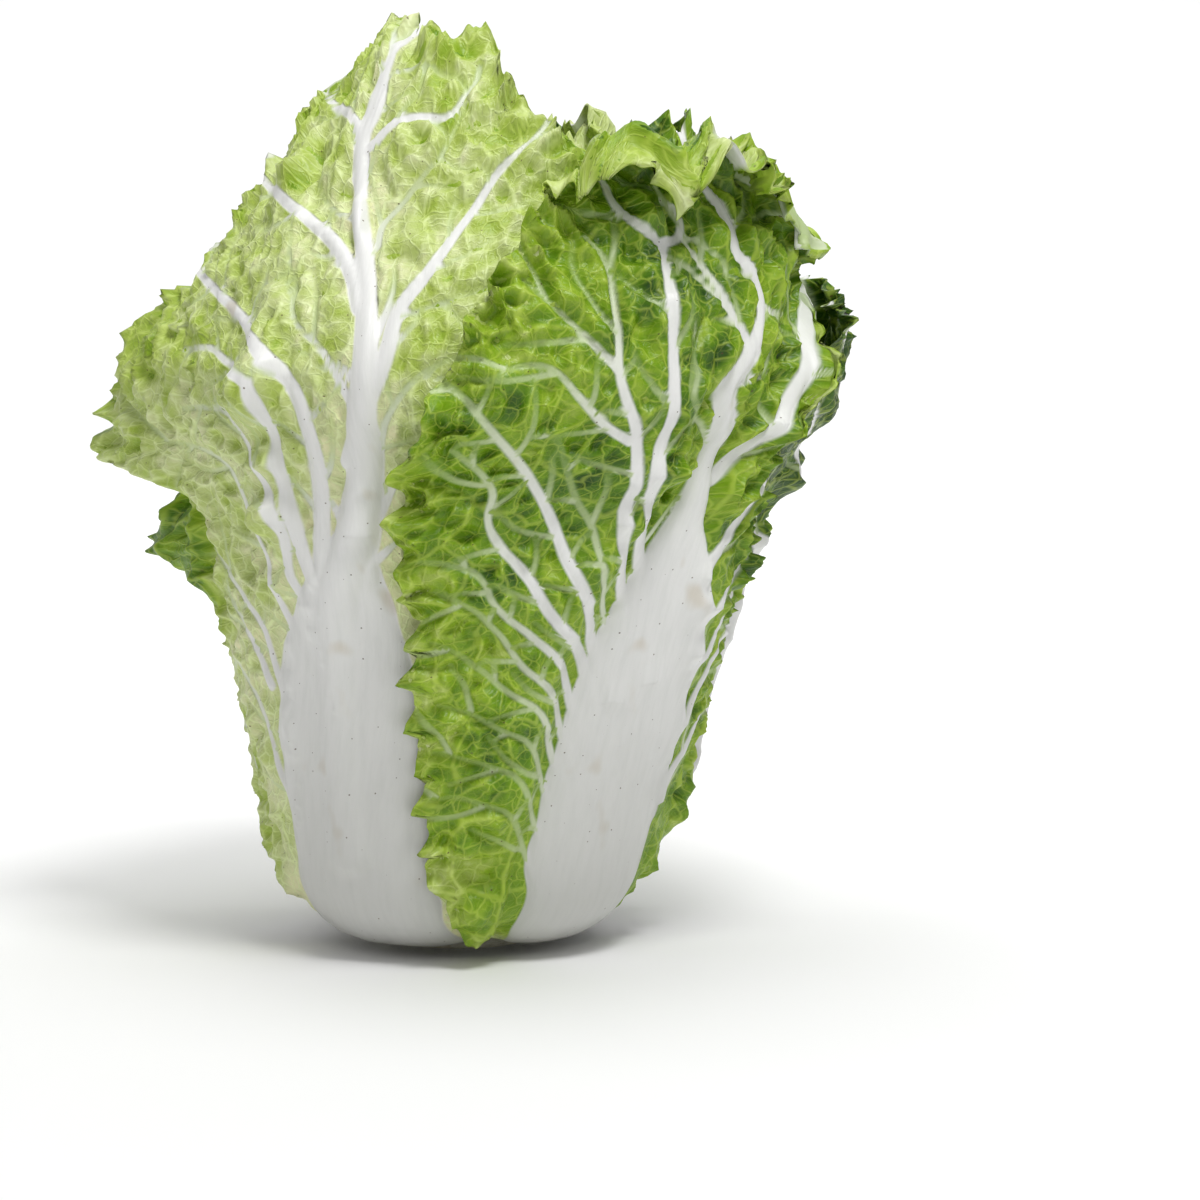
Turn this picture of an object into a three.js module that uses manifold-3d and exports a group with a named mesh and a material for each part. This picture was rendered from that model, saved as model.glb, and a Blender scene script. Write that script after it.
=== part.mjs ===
// A head of napa cabbage, standing on the cut end of its stem, with loose outer leaves.
// Millimetres, +Z up. The origin is the centre of the cut face that the head stands on.
// The front is -Y, and a bearing is counted from there in degrees, positive towards +X.
//
// Leaves are laid on the heart one over another, as they grow. Three coordinates serve for this:
// the bearing round the head, the climb along the heart's outline, and the stand-off out from the heart.

import * as THREE from "three";
import { mergeVertices } from "three/addons/utils/BufferGeometryUtils.js";
import Module from "manifold-3d";

// Driving dimensions
const STEM_RADIUS = 27;
const STEM_TOP_RADIUS = 25.5;
const STUB_HEIGHT = 19;
const HEART_BASE_RADIUS = 28;
const LEAN = 0.05;
const BLADE = 1.3;
const AIR = 1.3;
const FUSED = -0.9;
const SEED = 11;

// The heart's outline, from the stem outwards, up the side and over the top.
const OUTLINE_BENDS = [
  { length: 26, from: 10, to: 72 },
  { length: 130, from: 72, to: 90 },
  { length: 30, from: 90, to: 90 },
  { length: 105, from: 90, to: 180 },
];
const OUTLINE_STEP = 1;

// The outside of the whole head: [climb, stand-off] of the outermost surface.
const HEAD_OUTSIDE = [
  [0, 12],
  [12, 17],
  [26, 19],
  [60, 18],
  [100, 21],
  [156, 31],
  [180, 41],
  [195, 46],
  [214, 41],
  [232, 38],
  [246, 46],
  [258, 55],
  [268, 64],
  [291, 72],
];

const radians = THREE.MathUtils.degToRad;

// A value read from a list of [place, value] pairs, eased between them.
function along(pairs, x) {
  if (x <= pairs[0][0]) return pairs[0][1];
  for (let k = 1; k < pairs.length; k++) {
    const [x1, y1] = pairs[k];
    const [x0, y0] = pairs[k - 1];
    if (x <= x1) return THREE.MathUtils.lerp(y0, y1, (x - x0) / (x1 - x0));
  }
  return pairs[pairs.length - 1][1];
}

// A repeatable draw from 0 to 1 for two whole numbers.
function draw(a, b) {
  const s = Math.sin(a * 127.1 + b * 311.7 + SEED * 17.3) * 43758.5453;
  return s - Math.floor(s);
}

function traceOutline() {
  const points = [];
  let r = HEART_BASE_RADIUS;
  let z = STUB_HEIGHT;
  for (const { length, from, to } of OUTLINE_BENDS) {
    const steps = Math.round(length / OUTLINE_STEP);
    for (let k = 0; k < steps; k++) {
      const a = radians(THREE.MathUtils.lerp(from, to, (k + 0.5) / steps));
      points.push({ r, z, a });
      r += Math.cos(a) * OUTLINE_STEP;
      z += Math.sin(a) * OUTLINE_STEP;
    }
  }
  points.push({ r, z, a: Math.PI });
  return points;
}

const outline = traceOutline();
const CLIMB_END = outline.length - 1;

// The point at a bearing, a climb and a stand-off. The head leans a little to the right as it rises.
function place(bearing, climb, standOff) {
  const c = THREE.MathUtils.clamp(climb, 0, CLIMB_END) / OUTLINE_STEP;
  const k = Math.min(Math.floor(c), outline.length - 2);
  const f = c - k;
  const a = THREE.MathUtils.lerp(outline[k].a, outline[k + 1].a, f);
  const r = THREE.MathUtils.lerp(outline[k].r, outline[k + 1].r, f) + standOff * Math.sin(a);
  const z = THREE.MathUtils.lerp(outline[k].z, outline[k + 1].z, f) - standOff * Math.cos(a);
  const b = radians(bearing);
  return new THREE.Vector3(r * Math.sin(b) + LEAN * z, -r * Math.cos(b), z);
}

// How far out the leaves laid so far reach, on a grid of bearing and climb.
const BEARING_CELL = 2;
const CLIMB_CELL = 3;
const BEARING_CELLS = 360 / BEARING_CELL;
const CLIMB_CELLS = Math.ceil(CLIMB_END / CLIMB_CELL) + 1;
const cover = Array.from({ length: BEARING_CELLS }, () => new Float64Array(CLIMB_CELLS));
const NEAR_BEARING = 2;
const NEAR_CLIMB = 2;

const bearingCell = (b) => ((Math.round(b / BEARING_CELL) % BEARING_CELLS) + BEARING_CELLS) % BEARING_CELLS;
const climbCell = (c) => THREE.MathUtils.clamp(Math.round(c / CLIMB_CELL), 0, CLIMB_CELLS - 1);

function coverNear(bearing, climb) {
  const i = bearingCell(bearing);
  const j = climbCell(climb);
  let most = 0;
  for (let di = -NEAR_BEARING; di <= NEAR_BEARING; di++) {
    const column = cover[(i + di + BEARING_CELLS) % BEARING_CELLS];
    for (let dj = -NEAR_CLIMB; dj <= NEAR_CLIMB; dj++) {
      most = Math.max(most, column[THREE.MathUtils.clamp(j + dj, 0, CLIMB_CELLS - 1)]);
    }
  }
  return most;
}

function layOver(grid) {
  const SAMPLES = 7;
  for (let i = 0; i + 1 < grid.length; i++) {
    for (let j = 0; j + 1 < grid[i].length; j++) {
      const corners = [grid[i][j], grid[i][j + 1], grid[i + 1][j], grid[i + 1][j + 1]];
      const top = Math.max(...corners.map((p) => p.out));
      for (let k = 0; k <= SAMPLES; k++) {
        for (let m = 0; m <= SAMPLES; m++) {
          const f = k / SAMPLES;
          const g = m / SAMPLES;
          const mix = (key) =>
            THREE.MathUtils.lerp(
              THREE.MathUtils.lerp(corners[0][key], corners[1][key], g),
              THREE.MathUtils.lerp(corners[2][key], corners[3][key], g),
              f,
            );
          const column = cover[bearingCell(mix("bearing"))];
          const cell = climbCell(mix("climb"));
          column[cell] = Math.max(column[cell], top);
        }
      }
    }
  }
}

// A white rib: its half width and its thickness in millimetres, from the leaf's foot (0) to its tip (1).
const OUTER_RIB = {
  halfWidth: [[0, 20], [0.06, 25], [0.15, 30], [0.4, 29], [0.5, 23], [0.6, 13], [0.7, 8.5], [0.85, 5.5], [1, 3]],
  thickness: [[0, 3], [0.05, 5], [0.12, 7], [0.4, 7], [0.6, 6], [0.8, 4.5], [0.95, 2], [1, 1]],
};
const INNER_RIB = {
  halfWidth: [[0, 14], [0.2, 24], [0.45, 20], [0.6, 10], [0.8, 6], [1, 3]],
  thickness: [[0, 3], [0.2, 4.5], [0.6, 3.5], [0.85, 1.5], [1, 0.6]],
};
const HEART_RIB = {
  halfWidth: [[0, 12], [0.4, 12], [1, 4]],
  thickness: [[0, 1.5], [0.5, 1.5], [1, 0.5]],
};

const SIDE_VEIN_HEIGHT = 1.9;
const FIRST_SIDE_VEIN = 0.34;

// Rows up the leaf. Every second row past the first side vein is a vein, and those between are hollows.
const rowsUpTo = (list, step) => {
  const rows = [...list];
  while (rows[rows.length - 1] < 1 - 1.5 * step) rows.push(rows[rows.length - 1] + step);
  return [...rows, 1];
};
const OUTER_ROWS = rowsUpTo([0, 0.05, 0.1, 0.17, 0.24, 0.31], 0.04);
const FRONT_ROWS = rowsUpTo([0, 0.04, 0.08, 0.13, 0.19, 0.25, 0.3], 0.032);
const INNER_ROWS = rowsUpTo([0, 0.14, 0.28, 0.4], 0.08);
const OUTER_COLUMNS = [0, 0.12, 0.25, 0.4, 0.55, 0.7, 0.82, 0.92, 1];
const FRONT_COLUMNS = [0, 0.09, 0.18, 0.3, 0.42, 0.55, 0.67, 0.78, 0.88, 0.95, 1];
const INNER_COLUMNS = [0, 0.18, 0.38, 0.58, 0.78, 1];
const HEART_ROWS = [0, 0.2, 0.4, 0.55, 0.7, 0.85, 1];
const HEART_COLUMNS = [0, 0.3, 0.6, 0.82, 1];

// How far the midrib has climbed at a place up the leaf. Rows slope up from it to the margins, as veins do.
const midrib = (foot, tip) => [
  [0, foot],
  [0.25, 46],
  [0.5, 100],
  [0.75, 170],
  [0.9, THREE.MathUtils.lerp(170, tip, 0.65)],
  [1, tip],
];

// Margins: [place up the leaf, degrees from the midrib, climb].
const WIDE_MARGIN = [
  [0, 20, 12],
  [0.07, 28, 24],
  [0.12, 40, 40],
  [0.2, 52, 64],
  [0.35, 56, 120],
  [0.5, 60, 160],
  [0.65, 62, 194],
  [0.8, 58, 222],
  [0.92, 46, 240],
  [1, 30, 252],
];
const INNER_MARGIN = [
  [0, 20, 38],
  [0.15, 36, 66],
  [0.35, 50, 120],
  [0.55, 54, 174],
  [0.75, 50, 214],
  [0.9, 38, 240],
  [1, 24, 254],
];
const HEART_MARGIN = [
  [0, 26, 120],
  [0.4, 44, 180],
  [0.7, 48, 222],
  [1, 34, 256],
];

// The leaves in the order in which they are laid, from the inside out.
// reach is the share of the head's outside that a leaf stands out to, and flare adds to it at each margin.
const HEART_LEAVES = [0, 1, 2, 3, 4, 5].map((k) => ({
  turn: [[0, 40 + 144 * k], [1, 46 + 144 * k]],
  mid: [[0, 110], [1, 268 + 5 * (k % 2)]],
  left: HEART_MARGIN,
  right: HEART_MARGIN,
  rib: HEART_RIB,
  rows: HEART_ROWS,
  columns: HEART_COLUMNS,
  reach: [[0, 0], [0.5, 0], [1, 0.16 + 0.04 * k]],
  flare: [0, 0],
  lobes: [],
  crinkle: 1.5,
  frill: 3,
  gap: FUSED,
}));

const INNER_LEAVES = [
  { name: "inner_leaf_back", bearing: 176, tip: 264, reach: 0.5, top: 0.55 },
  { name: "inner_leaf_left", bearing: -72, tip: 268, reach: 0.5, top: 0.55 },
  { name: "inner_leaf_front", bearing: 18, tip: 258, reach: 0.6, top: 0.62 },
  { name: "inner_leaf_right", bearing: 82, tip: 254, reach: 0.65, top: 1.1 },
].map(({ name, bearing, tip, reach, top }) => ({
  name,
  turn: [[0, bearing], [1, bearing - 8]],
  mid: midrib(32, tip),
  left: INNER_MARGIN,
  right: INNER_MARGIN,
  rib: INNER_RIB,
  rows: INNER_ROWS,
  columns: INNER_COLUMNS,
  reach: [[0, 0.1], [0.3, reach * 0.7], [0.65, reach], [0.85, top], [1, top]],
  flare: [2, 2],
  lobes: [],
  crinkle: 1.5,
  frill: 3,
  gap: AIR,
}));

// A lobe stands out of a margin round a place up the leaf, on the left (-1) or the right (1).
const OUTER_LEAVES = [
  {
    name: "outer_leaf_back_left",
    turn: [[0, -98], [1, -104]],
    mid: midrib(8, 246),
    reach: [[0, 0.7], [0.4, 0.7], [1, 0.8]],
    flare: [6, 0],
  },
  {
    name: "outer_leaf_back",
    turn: [[0, -162], [1, -158]],
    mid: midrib(8, 264),
    reach: [[0, 0.75], [0.4, 0.85], [1, 0.9]],
    flare: [8, 6],
  },
  {
    name: "outer_leaf_back_right",
    turn: [[0, 152], [1, 146]],
    mid: midrib(7, 250),
    reach: [[0, 0.75], [0.4, 0.8], [1, 0.85]],
    flare: [0, 10],
  },
  {
    name: "outer_leaf_right",
    turn: [[0, 104], [0.5, 102], [1, 104]],
    mid: [[0, 6], [0.25, 40], [0.5, 88], [0.75, 145], [0.9, 186], [1, 212]],
    left: [
      [0, 22, 12],
      [0.08, 28, 24],
      [0.2, 36, 52],
      [0.35, 42, 92],
      [0.5, 48, 128],
      [0.65, 50, 156],
      [0.8, 46, 180],
      [0.92, 36, 196],
      [1, 24, 204],
    ],
    right: [
      [0, 22, 12],
      [0.08, 30, 24],
      [0.2, 44, 52],
      [0.35, 52, 92],
      [0.5, 54, 128],
      [0.65, 54, 156],
      [0.8, 48, 180],
      [0.92, 36, 196],
      [1, 24, 204],
    ],
    reach: [[0, 0.85], [0.4, 0.85], [0.7, 0.95], [1, 1.2]],
    flare: [0, 6],
  },
  {
    name: "outer_leaf_front_left",
    turn: [[0, -34], [0.3, -29], [0.55, -23], [0.75, -24], [0.9, -34], [1, -42]],
    mid: midrib(3, 272),
    left: [
      [0, 32, 10],
      [0.06, 42, 22],
      [0.12, 50, 40],
      [0.2, 56, 64],
      [0.35, 60, 118],
      [0.5, 66, 150],
      [0.65, 70, 176],
      [0.8, 62, 212],
      [0.92, 50, 242],
      [1, 44, 262],
    ],
    right: [
      [0, 42, 8],
      [0.06, 44, 20],
      [0.2, 46, 64],
      [0.35, 48, 118],
      [0.5, 52, 154],
      [0.65, 58, 190],
      [0.8, 60, 222],
      [0.92, 62, 246],
      [1, 64, 258],
    ],
    reach: [[0, 1], [1, 1]],
    flare: [0, 2],
    lobes: [
      { side: -1, at: 0.47, below: 0.07, above: 0.05, out: 13, degrees: 5 },
      { side: -1, at: 0.64, below: 0.035, above: 0.1, out: 32, degrees: 5 },
    ],
    rows: FRONT_ROWS,
    columns: FRONT_COLUMNS,
  },
  {
    name: "outer_leaf_front_right",
    turn: [[0, 50], [0.2, 44], [0.6, 43], [0.75, 47], [0.9, 52], [1, 48]],
    mid: midrib(3, 250),
    left: [
      [0, 30, 13],
      [0.06, 40, 23],
      [0.1, 48, 34],
      [0.2, 56, 62],
      [0.35, 57, 110],
      [0.5, 57, 148],
      [0.65, 53, 184],
      [0.8, 47, 216],
      [0.92, 42, 236],
      [1, 30, 246],
    ],
    right: [
      [0, 26, 10],
      [0.08, 34, 22],
      [0.2, 46, 62],
      [0.35, 48, 114],
      [0.5, 40, 146],
      [0.65, 30, 180],
      [0.8, 24, 210],
      [0.92, 24, 230],
      [1, 22, 240],
    ],
    reach: [[0, 1], [1, 1]],
    flare: [0, 0],
    rows: FRONT_ROWS,
    columns: FRONT_COLUMNS,
  },
].map((leaf) => ({
  left: WIDE_MARGIN,
  right: WIDE_MARGIN,
  rib: OUTER_RIB,
  rows: OUTER_ROWS,
  columns: OUTER_COLUMNS,
  lobes: [],
  crinkle: 2,
  frill: 4,
  gap: AIR,
  ...leaf,
}));

const HOLLOW_SMOOTHING = 8;

function lobeAt(leaf, t, u) {
  const found = { out: 0, degrees: 0 };
  for (const lobe of leaf.lobes.filter((one) => one.side * u > 0)) {
    const width = t < lobe.at ? lobe.below : lobe.above;
    const outward = THREE.MathUtils.smoothstep(Math.abs(u), 0.5, 1);
    const share = outward * Math.exp(-(((t - lobe.at) / width) ** 2));
    found.out += lobe.out * share;
    found.degrees += lobe.degrees * share;
  }
  return found;
}

// The leaf's sheet, as rows of points that know their place on the head and their distance from the midrib.
function sheetOf(leaf, index) {
  const columns = [...leaf.columns.slice(1).map((u) => -u).reverse(), ...leaf.columns];
  return leaf.rows.map((t, i) =>
    columns.map((u, j) => {
      const margin = u < 0 ? leaf.left : leaf.right;
      const side = Math.abs(u);
      const spread = along(margin.map(([at, degrees]) => [at, degrees]), t);
      const edgeClimb = along(margin.map(([at, , climb]) => [at, climb]), t);
      const midClimb = along(leaf.mid, t);
      const ripple = t > 0.1 && side > 0.95 ? (i % 2 ? 1.6 : -1.6) + 2 * draw(index, i) : 0;
      const lobe = lobeAt(leaf, t, u);
      const bearing = along(leaf.turn, t) + Math.sign(u) * (side * spread + ripple + lobe.degrees);
      const climb = THREE.MathUtils.lerp(midClimb, edgeClimb, side ** 0.9);
      const across = side * radians(spread) * Math.abs(place(0, climb, 30).y);
      return { t, u, side, row: i, column: j, bearing, climb, across, lobeOut: lobe.out };
    }),
  );
}

function thicknessAt(leaf, p) {
  const share = p.across / along(leaf.rib.halfWidth, p.t);
  const rib = share < 1 ? along(leaf.rib.thickness, p.t) * (1 - share * share) ** 0.7 : 0;
  const isVein = p.t > FIRST_SIDE_VEIN && p.row % 2 === 1 && p.t < 0.97 && leaf.rib === OUTER_RIB;
  const sideVein = isVein && p.side > 0 ? SIDE_VEIN_HEIGHT * (1 - 0.7 * p.side) : 0;
  return BLADE + Math.max(rib, sideVein);
}

const RIB_SUNK = 0.45;

// How far the sheet stands out: the head's outside, its flare and lobes, and its frilled margin.
function standOffAt(leaf, p, index, thickness) {
  const outside = along(HEAD_OUTSIDE, p.climb) * along(leaf.reach, p.t) - RIB_SUNK * thickness;
  const flare = leaf.flare[p.u < 0 ? 0 : 1];
  const midway = Math.sin(Math.PI * Math.min(p.t, 0.95)) ** 2;
  const spreadOut = flare * THREE.MathUtils.smoothstep(p.side, 0.45, 1) * midway;
  const wave = p.row % 2 ? 0.25 : 1;
  const edge = THREE.MathUtils.smoothstep(Math.max(p.side, (p.t - 0.7) / 0.3), 0.6, 1);
  const grown = THREE.MathUtils.smoothstep(p.t, 0.25, 0.6);
  const frill = leaf.frill * wave * edge * grown * (0.5 + draw(index + 40, p.row));
  return Math.max(outside, 0) + spreadOut + p.lobeOut + frill;
}

// The blade between the ribs is blistered, and the white rib is smooth.
function crinkleAt(leaf, p, index) {
  const bare = THREE.MathUtils.smoothstep(p.across / along(leaf.rib.halfWidth, p.t), 0.7, 1.3);
  return leaf.crinkle * bare * draw(index * 31 + p.row, p.column);
}

function smoothHollows(grid) {
  for (let pass = 0; pass < HOLLOW_SMOOTHING; pass++) {
    const before = grid.map((row) => row.map((p) => p.under));
    grid.forEach((row, i) =>
      row.forEach((p, j) => {
        const near = [before[i - 1]?.[j], before[i + 1]?.[j], before[i][j - 1], before[i][j + 1]];
        const there = near.filter((x) => x !== undefined);
        p.under = Math.max(p.under, there.reduce((a, b) => a + b, 0) / there.length);
      }),
    );
  }
}

function normalAt(grid, i, j) {
  const row = (k) => grid[THREE.MathUtils.clamp(k, 0, grid.length - 1)];
  const last = grid[i].length - 1;
  const up = new THREE.Vector3().subVectors(row(i + 1)[j].inner, row(i - 1)[j].inner);
  const right = new THREE.Vector3().subVectors(
    grid[i][Math.min(j + 1, last)].inner,
    grid[i][Math.max(j - 1, 0)].inner,
  );
  return right.cross(up).normalize();
}

// Lays a leaf over what is there, and returns its closed solid as a geometry.
function growLeaf(leaf, index) {
  const grid = sheetOf(leaf, index);
  grid.flat().forEach((p) => {
    p.under = coverNear(p.bearing, p.climb) + leaf.gap;
  });
  smoothHollows(grid);
  grid.flat().forEach((p) => {
    p.thickness = thicknessAt(leaf, p);
    p.base = Math.max(p.under, standOffAt(leaf, p, index, p.thickness)) + crinkleAt(leaf, p, index);
    p.out = p.base + p.thickness;
    p.inner = place(p.bearing, p.climb, p.base);
  });
  grid.forEach((row, i) =>
    row.forEach((p, j) => {
      p.outer = p.inner.clone().addScaledVector(normalAt(grid, i, j), p.thickness);
    }),
  );
  layOver(grid);
  return closeSheet(grid);
}

// Joins the inner and the outer face of a grid round its rim. Both faces are split along the same diagonals.
function closeSheet(grid) {
  const rows = grid.length;
  const columns = grid[0].length;
  const points = [...grid.flat().map((p) => p.inner), ...grid.flat().map((p) => p.outer)];
  const inner = (i, j) => i * columns + j;
  const outer = (i, j) => rows * columns + inner(i, j);
  const faces = [];
  for (let i = 0; i + 1 < rows; i++) {
    for (let j = 0; j + 1 < columns; j++) {
      faces.push([outer(i, j), outer(i, j + 1), outer(i + 1, j + 1)]);
      faces.push([outer(i, j), outer(i + 1, j + 1), outer(i + 1, j)]);
      faces.push([inner(i, j), inner(i + 1, j + 1), inner(i, j + 1)]);
      faces.push([inner(i, j), inner(i + 1, j), inner(i + 1, j + 1)]);
    }
  }
  const rim = [];
  for (let j = 0; j < columns; j++) rim.push([0, j]);
  for (let i = 1; i < rows; i++) rim.push([i, columns - 1]);
  for (let j = columns - 2; j >= 0; j--) rim.push([rows - 1, j]);
  for (let i = rows - 2; i > 0; i--) rim.push([i, 0]);
  rim.forEach(([i, j], k) => {
    const [ni, nj] = rim[(k + 1) % rim.length];
    faces.push([inner(i, j), inner(ni, nj), outer(ni, nj)]);
    faces.push([inner(i, j), outer(ni, nj), outer(i, j)]);
  });
  const geometry = new THREE.BufferGeometry().setFromPoints(points);
  geometry.setIndex(faces.flat());
  return geometry;
}

const wasm = await Module();
wasm.setup();

function toManifold(geometry) {
  const bare = new THREE.BufferGeometry().setAttribute("position", geometry.getAttribute("position"));
  bare.setIndex(geometry.index);
  const merged = mergeVertices(bare, 1e-4);
  return new wasm.Manifold(
    new wasm.Mesh({
      numProp: 3,
      vertProperties: new Float32Array(merged.attributes.position.array),
      triVerts: new Uint32Array(merged.index.array),
    }),
  );
}

function fromManifold(solid) {
  const mesh = solid.getMesh();
  const geometry = new THREE.BufferGeometry();
  geometry.setAttribute("position", new THREE.BufferAttribute(new Float32Array(mesh.vertProperties), 3));
  geometry.setIndex(new THREE.BufferAttribute(new Uint32Array(mesh.triVerts), 1));
  return geometry;
}

// Where leaves are fused, small hollows sealed between them are filled and loose scraps dropped.
function fillHollows(solid) {
  const bodies = solid.decompose().filter((body) => body.volume() > 0);
  return bodies.reduce((a, b) => (a.volume() > b.volume() ? a : b));
}

const HEART_SEGMENTS = 24;
const CORE_CLIMBS = [0, 12, 26, 60, 100, 140, 171, 190, 210, 230, 250, 266];

// The tight heart: a solid core with the tips of its leaves standing out round the top.
function makeHeart() {
  const side = CORE_CLIMBS.map((climb) => {
    const { r, z } = outline[climb];
    return new THREE.Vector2(r, z);
  });
  const profile = [new THREE.Vector2(0, STUB_HEIGHT), ...side, new THREE.Vector2(0, outline[CLIMB_END].z)];
  const core = new THREE.LatheGeometry(profile, HEART_SEGMENTS);
  core.rotateX(Math.PI / 2);
  core.applyMatrix4(new THREE.Matrix4().makeShear(0, 0, 0, 0, LEAN, 0));
  let solid = toManifold(core);
  HEART_LEAVES.forEach((leaf, k) => {
    solid = solid.add(toManifold(growLeaf(leaf, k)));
  });
  return fromManifold(fillHollows(solid));
}

function makeStem() {
  const top = STUB_HEIGHT - 0.4;
  const points = [
    new THREE.Vector2(0, 0),
    new THREE.Vector2(STEM_RADIUS - 1, 0),
    new THREE.Vector2(STEM_RADIUS, 1.2),
    new THREE.Vector2(STEM_TOP_RADIUS, top),
    new THREE.Vector2(0, top),
  ];
  const stem = new THREE.LatheGeometry(points, HEART_SEGMENTS);
  stem.rotateX(Math.PI / 2);
  return stem;
}

const WHITE_RIB = new THREE.MeshStandardMaterial({ color: 0xe9ebe2, roughness: 0.45, metalness: 0 });
const PALE_HEART = new THREE.MeshStandardMaterial({ color: 0xe6e6a0, roughness: 0.5, metalness: 0 });
const INNER_GREEN = new THREE.MeshStandardMaterial({ color: 0xa9c765, roughness: 0.5, metalness: 0 });
const OUTER_GREEN = new THREE.MeshStandardMaterial({ color: 0x7fae3c, roughness: 0.5, metalness: 0 });

const head = new THREE.Group();

function addPiece(name, geometry, material) {
  const mesh = new THREE.Mesh(geometry, material);
  mesh.name = name;
  head.add(mesh);
}

addPiece("cut_stem", makeStem(), WHITE_RIB);
addPiece("heart", makeHeart(), PALE_HEART);
INNER_LEAVES.forEach((leaf, k) => addPiece(leaf.name, growLeaf(leaf, 10 + k), INNER_GREEN));
OUTER_LEAVES.forEach((leaf, k) => addPiece(leaf.name, growLeaf(leaf, 20 + k), OUTER_GREEN));

export default head;
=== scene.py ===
# The looks of a standing head of napa cabbage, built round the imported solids.
# Blender works in metres. Leaves are laid out in millimetres, in the frame of the solids, then scaled.

import math
from types import SimpleNamespace

import bpy
import numpy as np
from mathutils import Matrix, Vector


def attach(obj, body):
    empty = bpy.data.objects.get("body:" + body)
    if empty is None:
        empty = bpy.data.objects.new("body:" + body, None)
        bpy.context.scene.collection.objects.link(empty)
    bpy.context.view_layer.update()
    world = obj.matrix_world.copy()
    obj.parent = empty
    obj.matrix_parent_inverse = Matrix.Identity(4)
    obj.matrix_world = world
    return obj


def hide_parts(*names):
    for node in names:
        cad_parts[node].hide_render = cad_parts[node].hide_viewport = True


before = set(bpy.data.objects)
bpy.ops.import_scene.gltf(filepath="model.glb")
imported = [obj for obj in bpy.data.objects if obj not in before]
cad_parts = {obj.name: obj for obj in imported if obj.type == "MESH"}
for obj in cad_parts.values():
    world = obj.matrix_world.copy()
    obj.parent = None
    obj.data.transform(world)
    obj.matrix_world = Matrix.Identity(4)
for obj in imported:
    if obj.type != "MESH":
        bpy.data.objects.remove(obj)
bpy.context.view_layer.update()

MM = 0.001

# The layout of the head, the same as in the solids.
# bearing: degrees round the head from the front (-Y), positive towards +X.
# climb: millimetres along the heart's outline, from the stem up and over the top.
# stand-off: millimetres out from the heart.
STUB_HEIGHT = 19.0
HEART_BASE_RADIUS = 28.0
LEAN = 0.05
OUTLINE_BENDS = [(26, 10, 72), (130, 72, 90), (30, 90, 90), (105, 90, 180)]
HEAD_OUTSIDE = [
    (0, 12), (12, 17), (26, 19), (60, 18), (100, 21), (156, 31), (180, 41), (195, 46),
    (214, 41), (232, 38), (246, 46), (258, 55), (268, 64), (291, 72),
]

# The photograph's view: the frame's width at the head, the distance and the height of the eye.
PHOTO_PIXELS = 1200
MM_PER_PIXEL = 0.362
EYE_DISTANCE = 1400.0
EYE_ELEVATION = math.radians(6)
VIEW_CENTRE = np.array([50.7, 0.0, 123.0])
SENSOR_WIDTH = 36.0


def ease(pairs, x):
    """A smooth curve through [place, value] pairs that never overshoots between them."""
    px, py = np.array(pairs, float).T
    gap = np.diff(px)
    slope = np.diff(py) / gap
    before, after = slope[:-1], slope[1:]
    same = before * after > 0
    lean = np.zeros_like(px)
    lean[1:-1][same] = 2 * before[same] * after[same] / (before[same] + after[same])
    lean[0], lean[-1] = slope[0], slope[-1]
    k = np.clip(np.searchsorted(px, x, side="right") - 1, 0, len(px) - 2)
    f = np.clip((x - px[k]) / gap[k], 0, 1)
    low = (1 + 2 * f) * (1 - f) ** 2 * py[k] + f * (1 - f) ** 2 * gap[k] * lean[k]
    high = f * f * (3 - 2 * f) * py[k + 1] - f * f * (1 - f) * gap[k] * lean[k + 1]
    return low + high


def smoothstep(x, low, high):
    """0 at low and 1 at high, also where low is the greater."""
    f = np.clip((x - low) / (high - low), 0, 1)
    return f * f * (3 - 2 * f)


def greater(a, b, soft):
    """The greater of two fields, rounded off where they meet."""
    return 0.5 * (a + b + np.sqrt((a - b) ** 2 + soft * soft))


def lattice(ix, iy, seed):
    """A repeatable draw from 0 to 1 for each whole-number place."""
    h = ix.astype(np.int64) * 73856093 ^ iy.astype(np.int64) * 19349663 ^ np.int64(seed * 83492791)
    h = ((h ^ (h >> 13)) * 1274126177) & 0xFFFFFFFF
    h = ((h ^ (h >> 15)) * 2246822519) & 0xFFFFFFFF
    h ^= h >> 16
    return (h & 0xFFFF) / 65535.0


def noise(x, y, size, seed):
    """Smooth noise from -1 to 1 with features of a size in millimetres."""
    gx, gy = x / size, y / size
    ix, iy = np.floor(gx), np.floor(gy)
    fx, fy = gx - ix, gy - iy
    fx = fx**3 * (fx * (fx * 6 - 15) + 10)
    fy = fy**3 * (fy * (fy * 6 - 15) + 10)
    low = lattice(ix, iy, seed) * (1 - fx) + lattice(ix + 1, iy, seed) * fx
    high = lattice(ix, iy + 1, seed) * (1 - fx) + lattice(ix + 1, iy + 1, seed) * fx
    return 2 * (low * (1 - fy) + high * fy) - 1


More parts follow.
